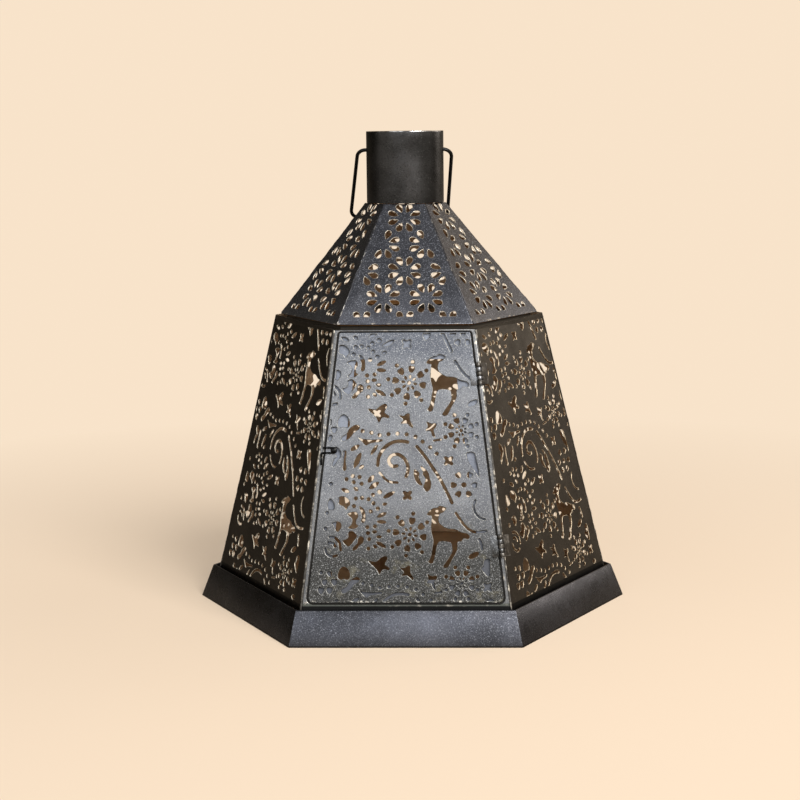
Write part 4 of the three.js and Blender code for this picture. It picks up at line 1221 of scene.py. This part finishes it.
# %% Candle cup and rivet
CUP_RADIUS = 21.0
CUP_FOOT = 17.5
CUP_HEIGHT = 13.0
CUP_SHEET = 0.6
CUP_CORNER = 0.8
CUP_EASE = 0.25
CUP_BORE, CUP_SINK = 2.0, 2.9
RIVET = [
    (0, 14.9), (1.9, 14.9), (2.8, 15.2), (3.2, 15.9), (1.5, 15.9), (1.5, 17.5), (2.4, 18.05), (0, 18.05),
]
cup_top = CUP_FOOT + CUP_HEIGHT
cup_profile = [
    (CUP_BORE, CUP_FOOT), (CUP_RADIUS - CUP_CORNER, CUP_FOOT), (CUP_RADIUS - CUP_EASE, CUP_FOOT + CUP_EASE),
    (CUP_RADIUS, CUP_FOOT + CUP_CORNER),
    *arc_points((CUP_RADIUS - CUP_SHEET / 2, cup_top - CUP_SHEET / 2), CUP_SHEET / 2, 0, 180, 6),
    (CUP_RADIUS - CUP_SHEET, CUP_FOOT + 2 * CUP_SHEET), (CUP_RADIUS - 2 * CUP_SHEET, CUP_FOOT + CUP_SHEET),
    (CUP_SINK, CUP_FOOT + CUP_SHEET),
]
cup = make_piece("cup", [lathe(cup_profile, steps=96)], "root", ["candle_cup"])
rivet = make_piece("rivet", [lathe(RIVET, steps=28)], "root", ["cup_rivet"])

# %% [markdown]
# ## Soldered corners
#
# Two sheets that meet at a corner leave an open groove, and solder fills it. The bead is uneven: it
# swells where the maker paused, and its paint chips first. It is an arch carried up the corner line,
# whose radius follows a smoothed row of random numbers.

# %% Solder beads
BODY_BEAD, ROOF_BEAD = 0.75, 0.62
BEAD_SUNK = 0.95
BEAD_SPREAD = 0.16
BEAD_START, BEAD_STOP, ROOF_BEAD_INSET = 1.0, 0.4, 0.3
POOL = 0.8
POOL_LENGTH = 3.0


def uneven(count, spread, smoothing=5):
    """Random numbers about 1, smoothed by a running mean."""
    noise = rng.normal(0, 1, count + smoothing)
    mean = np.convolve(noise, np.ones(smoothing) / smoothing, mode="valid")[:count]
    return 1 + spread * mean / mean.std()


def solder_bead(index, foot_radius, foot, head_radius, head, radius, rows, pool=0.0, sides=10):
    """A closed thin roll up the corner after a side, sunk below the sharp corner, and flatter towards
    the lantern. At its head it swells by pool times its radius, by a bell curve."""
    level = side_heading(index + 0.5)
    start = level * (foot_radius - BEAD_SUNK) + UP * foot
    end = level * (head_radius - BEAD_SUNK) + UP * head
    length = np.linalg.norm(end - start)
    share = np.linspace(0, 1, rows)[:, None]
    line = start + (end - start) * share
    along = (end - start) / length
    out = unit(level - along * (level @ along))
    angle = full_turn(sides)
    bell = np.exp(-((1 - share) * length / POOL_LENGTH) ** 2)
    swell = radius * uneven(rows, BEAD_SPREAD)[:, None] * (1 + pool * bell)
    lift = np.where(np.cos(angle) > 0, 1.0, 0.5) * np.cos(angle)
    points = line[:, None] + (swell * lift)[:, :, None] * out
    points += (swell * np.sin(angle))[:, :, None] * np.cross(along, out)
    ends = [np.repeat(point[None, None], sides, axis=1) for point in (line[0], line[-1])]
    return grid_shell(np.concatenate([ends[0], points, ends[1]]), False, True)


body_beads, roof_beads = [], []
for index in range(6):
    body_beads.append(solder_bead(
        index, BODY_FOOT_RADIUS, BODY_FOOT + BEAD_START, BODY_HEAD_RADIUS, BODY_HEAD - BEAD_STOP,
        BODY_BEAD, 150, POOL,
    ))
    bead_points, bead_faces = solder_bead(
        index, ROOF_FOOT_RADIUS, ROOF_FOOT + ROOF_BEAD_INSET, ROOF_TOP_RADIUS,
        ROOF_TOP - ROOF_BEAD_INSET, ROOF_BEAD, 90,
    )
    roof_beads.append((pulled_over(bead_points), bead_faces))
solder_body = make_piece("solder_body", body_beads, "root", crease=80)
solder_roof = make_piece("solder_roof", roof_beads, "root", crease=80)

# %% [markdown]
# ## Finishes
#
# The outside is a thin black-blue paint with a fine grain. On the door it is paler, a painted sheen for the
# bright window that the door mirrors. Under the paint is tin, which shows bright on rims and edges, and the
# rims' colours also paint light and shade. Black bands along the feet and in the gaps are painted shade.
# Inside, the metal has never been painted and has gone a dull rusty brown. Each finish is built from a few
# noises on Object coordinates: a broad one for mottling, a fine one for the grain of the paint, and sparse
# flecks where light catches.


# %% Node helpers
def node(tree, kind, inputs=None, **settings):
    """Adds a node. Each input is a value, a colour as a tuple, or another node's socket."""
    made = tree.nodes.new(kind)
    for name, value in settings.items():
        setattr(made, name, value)
    for key, value in (inputs or {}).items():
        if isinstance(value, bpy.types.NodeSocket):
            tree.links.new(value, made.inputs[key])
        else:
            made.inputs[key].default_value = (*value, 1.0) if isinstance(value, tuple) else value
    return made


def noise(tree, place, scale, detail=2.0, roughness=0.5, distortion=0.0):
    """A noise between about 0.2 and 0.8, whose lumps are one part in scale of a metre across."""
    return node(tree, "ShaderNodeTexNoise", {
        "Vector": place, "Scale": scale, "Detail": detail, "Roughness": roughness, "Distortion": distortion,
    }).outputs["Fac"]


def between(tree, value, low, high, to_low=0.0, to_high=1.0):
    """Stretches a value from one range to another, and clamps it there."""
    return node(tree, "ShaderNodeMapRange", {
        "Value": value, "From Min": low, "From Max": high, "To Min": to_low, "To Max": to_high,
    }).outputs["Result"]


def mixed(tree, share, first, second):
    """Mixes two colours."""
    return node(tree, "ShaderNodeMix", {"Factor": share, 6: first, 7: second}, data_type="RGBA").outputs[2]


def combined(tree, operation, first, second):
    """Two values put together by an operation."""
    return node(tree, "ShaderNodeMath", {0: first, 1: second}, operation=operation).outputs[0]


def product(tree, first, second):
    """One value times another."""
    return combined(tree, "MULTIPLY", first, second)


def coordinate(tree, place, axis="Z"):
    """One coordinate of a place, in metres."""
    return node(tree, "ShaderNodeSeparateXYZ", {0: place}).outputs[axis]


def start_material(name):
    """An empty node material, and coordinates in the object's own space."""
    material = bpy.data.materials.new(name)
    material.use_nodes = True
    material.node_tree.nodes.clear()
    place = node(material.node_tree, "ShaderNodeTexCoord").outputs["Object"]
    return material, material.node_tree, place


def surfaced(material, colour, metallic, rough, *heights, specular=0.5):
    """Ends a material with its shader. Each of heights is a value between 0 and 1 and the metres by
    which it raises the surface at most."""
    tree, bump = material.node_tree, {}
    for height, distance in heights:
        bump = {"Strength": 1.0, "Distance": distance, "Height": height, **bump}
        bump = {"Normal": node(tree, "ShaderNodeBump", bump).outputs["Normal"]}
    shader = node(tree, "ShaderNodeBsdfPrincipled", {
        "Base Color": colour, "Metallic": metallic, "Roughness": rough,
        "Specular IOR Level": specular, **bump,
    })
    node(tree, "ShaderNodeOutputMaterial", {"Surface": shader.outputs["BSDF"]})
    return material


# %% Painted sheet
GRAIN_DEPTH, WAVE_DEPTH = 0.00003, 0.0003


def patched(tree, place, colour, patches):
    """A colour with patches over it. Each patch is (colour, low, high, soft, scale, share): lumps of a
    colour between two heights in metres, which fade over soft at both."""
    height = coordinate(tree, place)
    for patch, low, high, soft, scale, share in patches:
        lumps = between(tree, noise(tree, place, scale, 4, 0.65), 0.62 - share, 0.74 - share)
        rise = between(tree, height, low - soft, low)
        band = product(tree, rise, between(tree, height, high + soft, high))
        colour = mixed(tree, product(tree, lumps, band), colour, patch)
    return colour


def paint(name, dark, pale, fleck, metallic, rough, grain_size=0.0009, flecks=0.62, cloud=38,
          stains_and_shade=(), chips_and_painted_light=()):
    """Mottled paint with a fine grain and sparse pale flecks. Stains and painted shade lie under the
    grain, and chips and painted light over it."""
    material, tree, place = start_material(name)
    mottle = between(tree, noise(tree, place, cloud, 5, 0.6), 0.33, 0.68)
    colour = patched(tree, place, mixed(tree, mottle, dark, pale), stains_and_shade)
    grains = noise(tree, place, 1 / grain_size, 3, 0.6)
    pits = between(tree, grains, 0.44, 0.3, 0.0, 0.75)
    colour = mixed(tree, pits, colour, tuple(0.5 * value for value in dark))
    colour = mixed(tree, between(tree, grains, flecks, flecks + 0.16), colour, fleck)
    sheen = between(tree, noise(tree, place, 90, 4, 0.6), 0.3, 0.7, rough - 0.06, rough + 0.08)
    waves = noise(tree, place, 28, 2, 0.5)
    colour = patched(tree, place, colour, chips_and_painted_light)
    return surfaced(material, colour, metallic, sheen, (grains, GRAIN_DEPTH), (waves, WAVE_DEPTH))


# Black for painted shade where the body goes down into the plinth's top.
FOOT_SHADE = (0.003, 0.003, 0.003)
# The door's paint is paler than the sides', a painted sheen for the window it mirrors. Its first stain,
# darker towards the foot, is painted shade. The second is ochre dust at the foot, and the third darkens the
# leaf's head. The pale marks along the foot are chips.
DOOR_PAINT_AND_SHEEN = paint(
    "door_paint", (0.118, 0.123, 0.134), (0.192, 0.198, 0.209), (0.38, 0.38, 0.38), 0.84, 0.27,
    grain_size=0.0006, flecks=0.54,
    stains_and_shade=[
        ((0.037, 0.037, 0.034), 0.0, 0.05, 0.034, 24, 0.4), ((0.12, 0.11, 0.075), 0.0, 0.05, 0.03, 70, 0.04),
        ((0.088, 0.095, 0.112), 0.174, 0.19, 0.012, 40, 0.3),
    ],
    chips_and_painted_light=[((0.7, 0.66, 0.58), 0.024, 0.0254, 0.0006, 420, 0.08)],
)
# The frame is darker along its foot and black below that, painted shade where it goes down into the plinth's
# top. The pale marks higher up are chips.
FRAME_PAINT = paint(
    "frame_paint", (0.115, 0.117, 0.12), (0.2, 0.203, 0.205), (0.4, 0.385, 0.35), 0.8, 0.34, flecks=0.57,
    chips_and_painted_light=[
        ((0.075, 0.08, 0.07), 0.0, 0.0238, 0.0006, 60, 0.5), (FOOT_SHADE, 0.0, 0.0223, 0.0005, 60, 0.6),
        ((0.55, 0.5, 0.42), 0.024, 0.19, 0.002, 210, 0.03),
    ],
)
# The flange is darker towards its foot, a painted shade like the door's.
FLANGE_PAINT = paint(
    "flange_paint", (0.17, 0.19, 0.235), (0.26, 0.29, 0.35), (0.38, 0.41, 0.46), 0.3, 0.5,
    stains_and_shade=[((0.08, 0.086, 0.102), 0.0, 0.05, 0.05, 24, 0.75)],
)
# The black band along the sides' foot is painted shade where they go down into the plinth's top.
SIDE_PAINT = paint(
    "side_paint", (0.04, 0.034, 0.027), (0.072, 0.062, 0.049), (0.26, 0.23, 0.18), 0.85, 0.38, flecks=0.64,
    chips_and_painted_light=[(FOOT_SHADE, 0.0, 0.0232, 0.0006, 60, 0.6)],
)
# The roof is darker towards its top. The pale marks along its foot are chips, which also paint the glint on
# that edge.
ROOF_PAINT = paint(
    "roof_paint", (0.126, 0.134, 0.158), (0.182, 0.192, 0.222), (0.48, 0.51, 0.58), 0.88, 0.32,
    grain_size=0.0007, flecks=0.55,
    stains_and_shade=[((0.085, 0.088, 0.1), 0.213, 0.27, 0.022, 60, 0.5)],
    chips_and_painted_light=[((0.75, 0.7, 0.62), 0.1880, 0.1892, 0.0003, 260, 0.07)],
)
# The dark line along the plinth's foot is a painted contact shadow.
PLINTH_PAINT = paint(
    "plinth_paint", (0.034, 0.035, 0.04), (0.086, 0.089, 0.104), (0.2, 0.205, 0.225), 0.93, 0.28,
    grain_size=0.0006, cloud=15, flecks=0.55,
    chips_and_painted_light=[((0.02, 0.018, 0.015), -0.001, 0.0009, 0.0004, 60, 0.6)],
)
# The pale broken line round the top lip is a painted highlight.
FLUE_PAINT = paint(
    "flue_paint", (0.036, 0.036, 0.036), (0.09, 0.09, 0.093), (0.18, 0.18, 0.18), 0.92, 0.27,
    chips_and_painted_light=[((0.55, 0.55, 0.55), 0.3043, 0.3055, 0.0002, 120, 0.16)],
)


# %% Cut edges, inside metal, steel and solder
def cut_edge(name, paint_and_shade, bare_and_light, metallic):
    """Cut tin with paint left on it in places. Its two colours also paint the light and shade that a rim
    shows.
    """
    material, tree, place = start_material(name)
    rim_patches = between(tree, noise(tree, place, 420, 3, 0.6), 0.38, 0.52)
    marks = noise(tree, place, 900, 2)
    return surfaced(material, mixed(tree, rim_patches, paint_and_shade, bare_and_light), metallic, 0.35, (marks, 0.0001))


def rusty_tin(name, dark, pale, run):
    """Unpainted metal gone rusty: two browns mottled together, dull, with a few darker runs."""
    material, tree, place = start_material(name)
    mottle = between(tree, noise(tree, place, 60, 6, 0.65), 0.3, 0.7)
    runs = between(tree, noise(tree, place, 18, 3, 0.5, 1.5), 0.55, 0.75)
    colour = mixed(tree, runs, mixed(tree, mottle, dark, pale), run)
    rough = between(tree, mottle, 0.0, 1.0, 0.5, 0.75)
    return surfaced(material, colour, 0.15, rough, (noise(tree, place, 700, 4), 0.0002))


def rubbed_steel(name, dark, pale, share, rough):
    """Dark steel, rubbed bright where it is handled. On the latch the bright patches also paint its glints.
    """
    material, tree, place = start_material(name)
    rub_and_glint = between(tree, noise(tree, place, 260, 4, 0.6), share, share + 0.2)
    sheen = between(tree, noise(tree, place, 500, 2), 0.3, 0.7, rough, rough + 0.15)
    marks = noise(tree, place, 1300, 3)
    return surfaced(material, mixed(tree, rub_and_glint, dark, pale), 0.85, sheen, (marks, 0.00006))


# Colours for the black that paints the shade in the gaps, and for the brown and orange behind it.
GAP_SHADE_DARK, GAP_SHADE_PALE, BROWN_BEHIND = (0.008, 0.008, 0.008), (0.03, 0.028, 0.025), (0.066, 0.056, 0.043)
ORANGE_EDGE_DARK, ORANGE_EDGE_PALE = (0.16, 0.07, 0.025), (0.62, 0.34, 0.14)
BROWN_START, BROWN_FULL = -0.0705, -0.067
ORANGE_EDGE_HEIGHT = 0.1873


def gap_shade_tin(name):
    """Black at the front, painted shade for the gaps above and round the door, and brown behind it with an
    orange upper edge.
    """
    material, tree, place = start_material(name)
    black = mixed(tree, noise(tree, place, 240, 3), GAP_SHADE_DARK, GAP_SHADE_PALE)
    black = mixed(tree, between(tree, coordinate(tree, place, "Y"), BROWN_START, BROWN_FULL), black, BROWN_BEHIND)
    orange_edge = mixed(tree, noise(tree, place, 330, 4), ORANGE_EDGE_DARK, ORANGE_EDGE_PALE)
    upper = between(tree, coordinate(tree, place), ORANGE_EDGE_HEIGHT - 0.0001, ORANGE_EDGE_HEIGHT + 0.0002)
    fine_bumps = (noise(tree, place, 700, 4), 0.0001)
    return surfaced(material, mixed(tree, upper, black, orange_edge), 0.0, 0.6, fine_bumps, specular=0.15)


# The rims' colours paint the light and shade they show. The side rims are bare tin, made pale cream to paint
# the light they catch. The front right panel's rims are a darker copy, painted shade. The door's rims are
# dark, painted shade round each hole, with grey patches.
LIT_RIM_TIN = cut_edge("lit_rim_tin", (0.45, 0.36, 0.24), (1.0, 0.92, 0.75), 0.35)
DOOR_RIM_SHADE = cut_edge("door_rim_shade", (0.02, 0.02, 0.02), (0.3, 0.3, 0.28), 0.5)
SHADED_RIM = cut_edge("shaded_rim", (0.2, 0.12, 0.055), (0.85, 0.7, 0.5), 0.35)
ROOF_RIM = cut_edge("roof_rim", (0.3, 0.25, 0.18), (0.9, 0.82, 0.68), 0.4)
INNER_TIN = rusty_tin("inner_tin", (0.5, 0.34, 0.21), (0.82, 0.62, 0.41), (0.36, 0.22, 0.12))
FLOOR_TIN = rusty_tin("floor_tin", (0.2, 0.115, 0.055), (0.36, 0.23, 0.12), (0.14, 0.08, 0.04))
DOOR_BACK = rusty_tin("door_back", (0.22, 0.145, 0.085), (0.38, 0.27, 0.17), (0.14, 0.085, 0.045))
GAP_SHADE_TIN = gap_shade_tin("gap_shade_tin")
HINGE_STEEL = rubbed_steel("hinge_steel", (0.1, 0.1, 0.1), (0.36, 0.355, 0.34), 0.5, 0.32)
LEAF_STEEL = rubbed_steel("hinge_leaf", (0.062, 0.057, 0.05), (0.3, 0.29, 0.27), 0.5, 0.34)
WIRE = rubbed_steel("wire", (0.02, 0.02, 0.02), (0.12, 0.11, 0.1), 0.6, 0.3)
# The latch's pale patches are partly rubbed steel and partly painted glints.
LATCH_STEEL_AND_GLINTS = rubbed_steel("latch_steel_and_glints", (0.008, 0.008, 0.008), (0.5, 0.5, 0.48), 0.64, 0.2)
SOLDER = rubbed_steel("solder", (0.07, 0.066, 0.06), (0.62, 0.57, 0.48), 0.5, 0.35)
PAINTED_SOLDER = rubbed_steel("painted_solder", (0.05, 0.05, 0.055), (0.62, 0.6, 0.56), 0.56, 0.35)

# %% Give each piece its finish
FINISHES = [
    (side_panels[:1], SIDE_PAINT, SHADED_RIM, INNER_TIN),
    (side_panels[1:], SIDE_PAINT, LIT_RIM_TIN, INNER_TIN),
    (roof_panels, ROOF_PAINT, ROOF_RIM, INNER_TIN),
    ([door_leaf], DOOR_PAINT_AND_SHEEN, DOOR_RIM_SHADE, DOOR_BACK),
    ([door_frame], FRAME_PAINT, FLANGE_PAINT, GAP_SHADE_TIN),
    ([plinth], PLINTH_PAINT),
    ([flue], FLUE_PAINT),
    ([cup], FLOOR_TIN),
    ([bail], WIRE),
    ([hook, latch_pivot], LATCH_STEEL_AND_GLINTS),
    ([keeper, rivet], HINGE_STEEL),
    (hinge_pieces[0::3], DOOR_PAINT_AND_SHEEN),
    (hinge_pieces[1::3], LEAF_STEEL),
    (hinge_pieces[2::3], HINGE_STEEL),
    ([solder_body], SOLDER),
    ([solder_roof], PAINTED_SOLDER),
]
for pieces, *materials in FINISHES:
    for piece in pieces:
        for material in materials:
            piece.data.materials.append(material)
# The eave ring's black front is painted shade in the gap under the roof.
for name, material in (("floor_plate", FLOOR_TIN), ("eave_ring", GAP_SHADE_TIN)):
    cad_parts[name].material_slots[0].material = material

# %% [markdown]
# ## Floor and background
#
# The photograph has a plain warm background with only a soft shadow. The floor and the world show the
# camera the same pale colour, so no horizon is seen. Near the lantern, part of the floor's colour is light
# that it gives back, so that the shadow can be seen there, and further out it fades to plain background.

# %% Floor
BACKGROUND = (0.94, 0.77, 0.592)
FLOOR_RADIUS = 9.0
FLOOR_CORNERS = 96
SHADOW_NEAR, SHADOW_FAR = 0.22, 0.75
FLOOR_SHARE = 0.65
FLOOR_LEVEL = 0.975
MIRROR_SHARE = 0.15
DARK_FLOOR = (0.03, 0.025, 0.019)
LEFT_DARK, RIGHT_DARK, RIGHT_LEAST = (-0.5, 0.3), (1.6, 0.6), 0.3
LIT_FLOOR = tuple(0.28 * value for value in BACKGROUND)


def shown_or_lit(tree, seen, lit, shown, output):
    """Ends a material or world that looks like shown where seen is 1, and like lit elsewhere."""
    choose = node(tree, "ShaderNodeMixShader", {"Fac": seen, 1: lit.outputs[0], 2: shown.outputs[0]})
    node(tree, output, {"Surface": choose.outputs[0]})


def floor_material():
    """The camera sees given light times one minus a share, plus a diffuse colour that gives the share
    back where the lamps reach it. Other rays see a plain floor with painted shade on it: dark at the left,
    where the lantern's shadow falls, and dim at the far right."""
    material, tree, place = start_material("floor")
    distance = node(tree, "ShaderNodeVectorMath", {0: place}, operation="LENGTH").outputs["Value"]
    share = between(tree, distance, SHADOW_NEAR, SHADOW_FAR, FLOOR_SHARE, 0.0)
    rest = combined(tree, "SUBTRACT", 1.0, share)
    given = node(tree, "ShaderNodeEmission", {"Color": BACKGROUND, "Strength": rest})
    full = tuple(value / FLOOR_LEVEL for value in BACKGROUND)
    diffuse = node(tree, "ShaderNodeBsdfDiffuse", {"Color": mixed(tree, share, (0.0, 0.0, 0.0), full)})
    shown = node(tree, "ShaderNodeAddShader", {0: given.outputs[0], 1: diffuse.outputs[0]})
    across = coordinate(tree, place, "X")
    lit = product(tree, between(tree, across, *LEFT_DARK), between(tree, across, *RIGHT_DARK, RIGHT_LEAST))
    plain = node(tree, "ShaderNodeBsdfDiffuse", {"Color": mixed(tree, lit, DARK_FLOOR, LIT_FLOOR)})
    path = node(tree, "ShaderNodeLightPath").outputs
    seen = combined(tree, "MAXIMUM", path["Is Camera Ray"], path["Is Transmission Ray"])
    seen = combined(tree, "MAXIMUM", seen, product(tree, path["Is Glossy Ray"], MIRROR_SHARE))
    shown_or_lit(tree, seen, plain, shown, "ShaderNodeOutputMaterial")
    return material


angle = full_turn(FLOOR_CORNERS)
floor_ring = np.stack([np.cos(angle), np.sin(angle), 0 * angle], axis=1) * FLOOR_RADIUS
floor_mesh = bpy.data.meshes.new("floor")
floor_mesh.from_pydata(floor_ring.tolist(), [], [list(range(FLOOR_CORNERS))])
floor_mesh.materials.append(floor_material())
floor = bpy.data.objects.new("floor", floor_mesh)
bpy.context.collection.objects.link(floor)
print("the floor reaches", FLOOR_RADIUS, "m from the middle")

# %% [markdown]
# ## The studio
#
# What the metal mirrors decides how it looks. A bright window stands behind the camera, from about 10
# degrees above the floor to 35, and its head is a little brighter. The leaning front mirrors its lower
# edge, so the door is bright above and falls off towards its foot. The backdrop's warm colour stands
# behind and at the right, above a dim band. What is mirrored is dark at the left, and cool grey above,
# while dull surfaces get nearly the same light from the left as from the right. One big soft lamp at the
# front right gives the shadow at the left, and a small one warms the right side.

# %% The room
ROOM_LEFT = (0.05, 0.04, 0.026)
ROOM_LOW = (0.22, 0.182, 0.138)
ROOM_FRONT = (0.8, 0.73, 0.64)
ROOM_ABOVE = (0.15, 0.157, 0.175)
WINDOW = (2.28, 2.3, 2.34)
WINDOW_HEAD = (2.6, 2.7, 2.85)
BAND_FADE = (0.3, 0.56)
LEFT_FADE = (-0.6, 0.35)
FRONT_FADE = (0.15, -0.3)
ABOVE_FADE = (0.6, 0.85)
WINDOW_FOOT, WINDOW_TOP = (0.16, 0.19), (0.62, 0.52)
WINDOW_SIDE = (-0.6, -0.8)
WINDOW_HEAD_FADE = (0.34, 0.42)
ROOM_LEVEL = 0.6
LEFT_LIGHT = 0.9


def room():
    """The world: plain background for the camera, and for other rays a colour by direction. The
    direction's X runs to the right, its Y away from the camera and its Z up."""
    world = bpy.data.worlds.new("room")
    bpy.context.scene.world = world
    world.use_nodes = True
    tree = world.node_tree
    tree.nodes.clear()
    direction = node(tree, "ShaderNodeTexCoord").outputs["Generated"]
    x, y, z = (coordinate(tree, direction, axis) for axis in "XYZ")
    path = node(tree, "ShaderNodeLightPath").outputs
    dull = between(tree, path["Is Glossy Ray"], 0, 1, LEFT_LIGHT, 0)
    colour = mixed(tree, between(tree, z, *BAND_FADE), ROOM_LOW, BACKGROUND)
    right = combined(tree, "MAXIMUM", between(tree, x, *LEFT_FADE), dull)
    colour = mixed(tree, right, ROOM_LEFT, colour)
    colour = mixed(tree, between(tree, y, *FRONT_FADE), colour, ROOM_FRONT)
    colour = mixed(tree, between(tree, z, *ABOVE_FADE), colour, ROOM_ABOVE)
    window = product(tree, between(tree, z, *WINDOW_FOOT), between(tree, z, *WINDOW_TOP))
    window = product(tree, window, between(tree, y, *WINDOW_SIDE))
    pane = mixed(tree, between(tree, z, *WINDOW_HEAD_FADE), WINDOW, WINDOW_HEAD)
    colour = mixed(tree, window, colour, pane)
    level = between(tree, path["Is Glossy Ray"], 0, 1, ROOM_LEVEL, 1.0)
    dim = node(tree, "ShaderNodeBackground", {"Color": colour, "Strength": level})
    shown = node(tree, "ShaderNodeBackground", {"Color": BACKGROUND})
    seen = combined(tree, "MAXIMUM", path["Is Camera Ray"], path["Is Transmission Ray"])
    shown_or_lit(tree, seen, dim, shown, "ShaderNodeOutputWorld")


room()

# %% Lamps
LANTERN_MIDDLE = Vector((0, 0, 0.13))
LAMPS = [
    ("front_light", (1.35, -1.95, 1.8), 1.5, 92, (1.0, 0.96, 0.92)),
    ("right_light", (1.9, 1.0, 0.7), 0.8, 4, (1.0, 0.9, 0.8)),
]
for name, place, size, power, colour in LAMPS:
    lamp = bpy.data.lights.new(name, "AREA")
    lamp.size = size
    lamp.energy = power
    lamp.color = colour
    holder = bpy.data.objects.new(name, lamp)
    bpy.context.collection.objects.link(holder)
    back = Vector(place) - LANTERN_MIDDLE
    holder.matrix_world = Matrix.Translation(place) @ back.to_track_quat("Z", "Y").to_matrix().to_4x4()
print("lamps", len(LAMPS))

# %% Hand over to the frame
bpy.context.scene.view_settings.view_transform = "Standard"
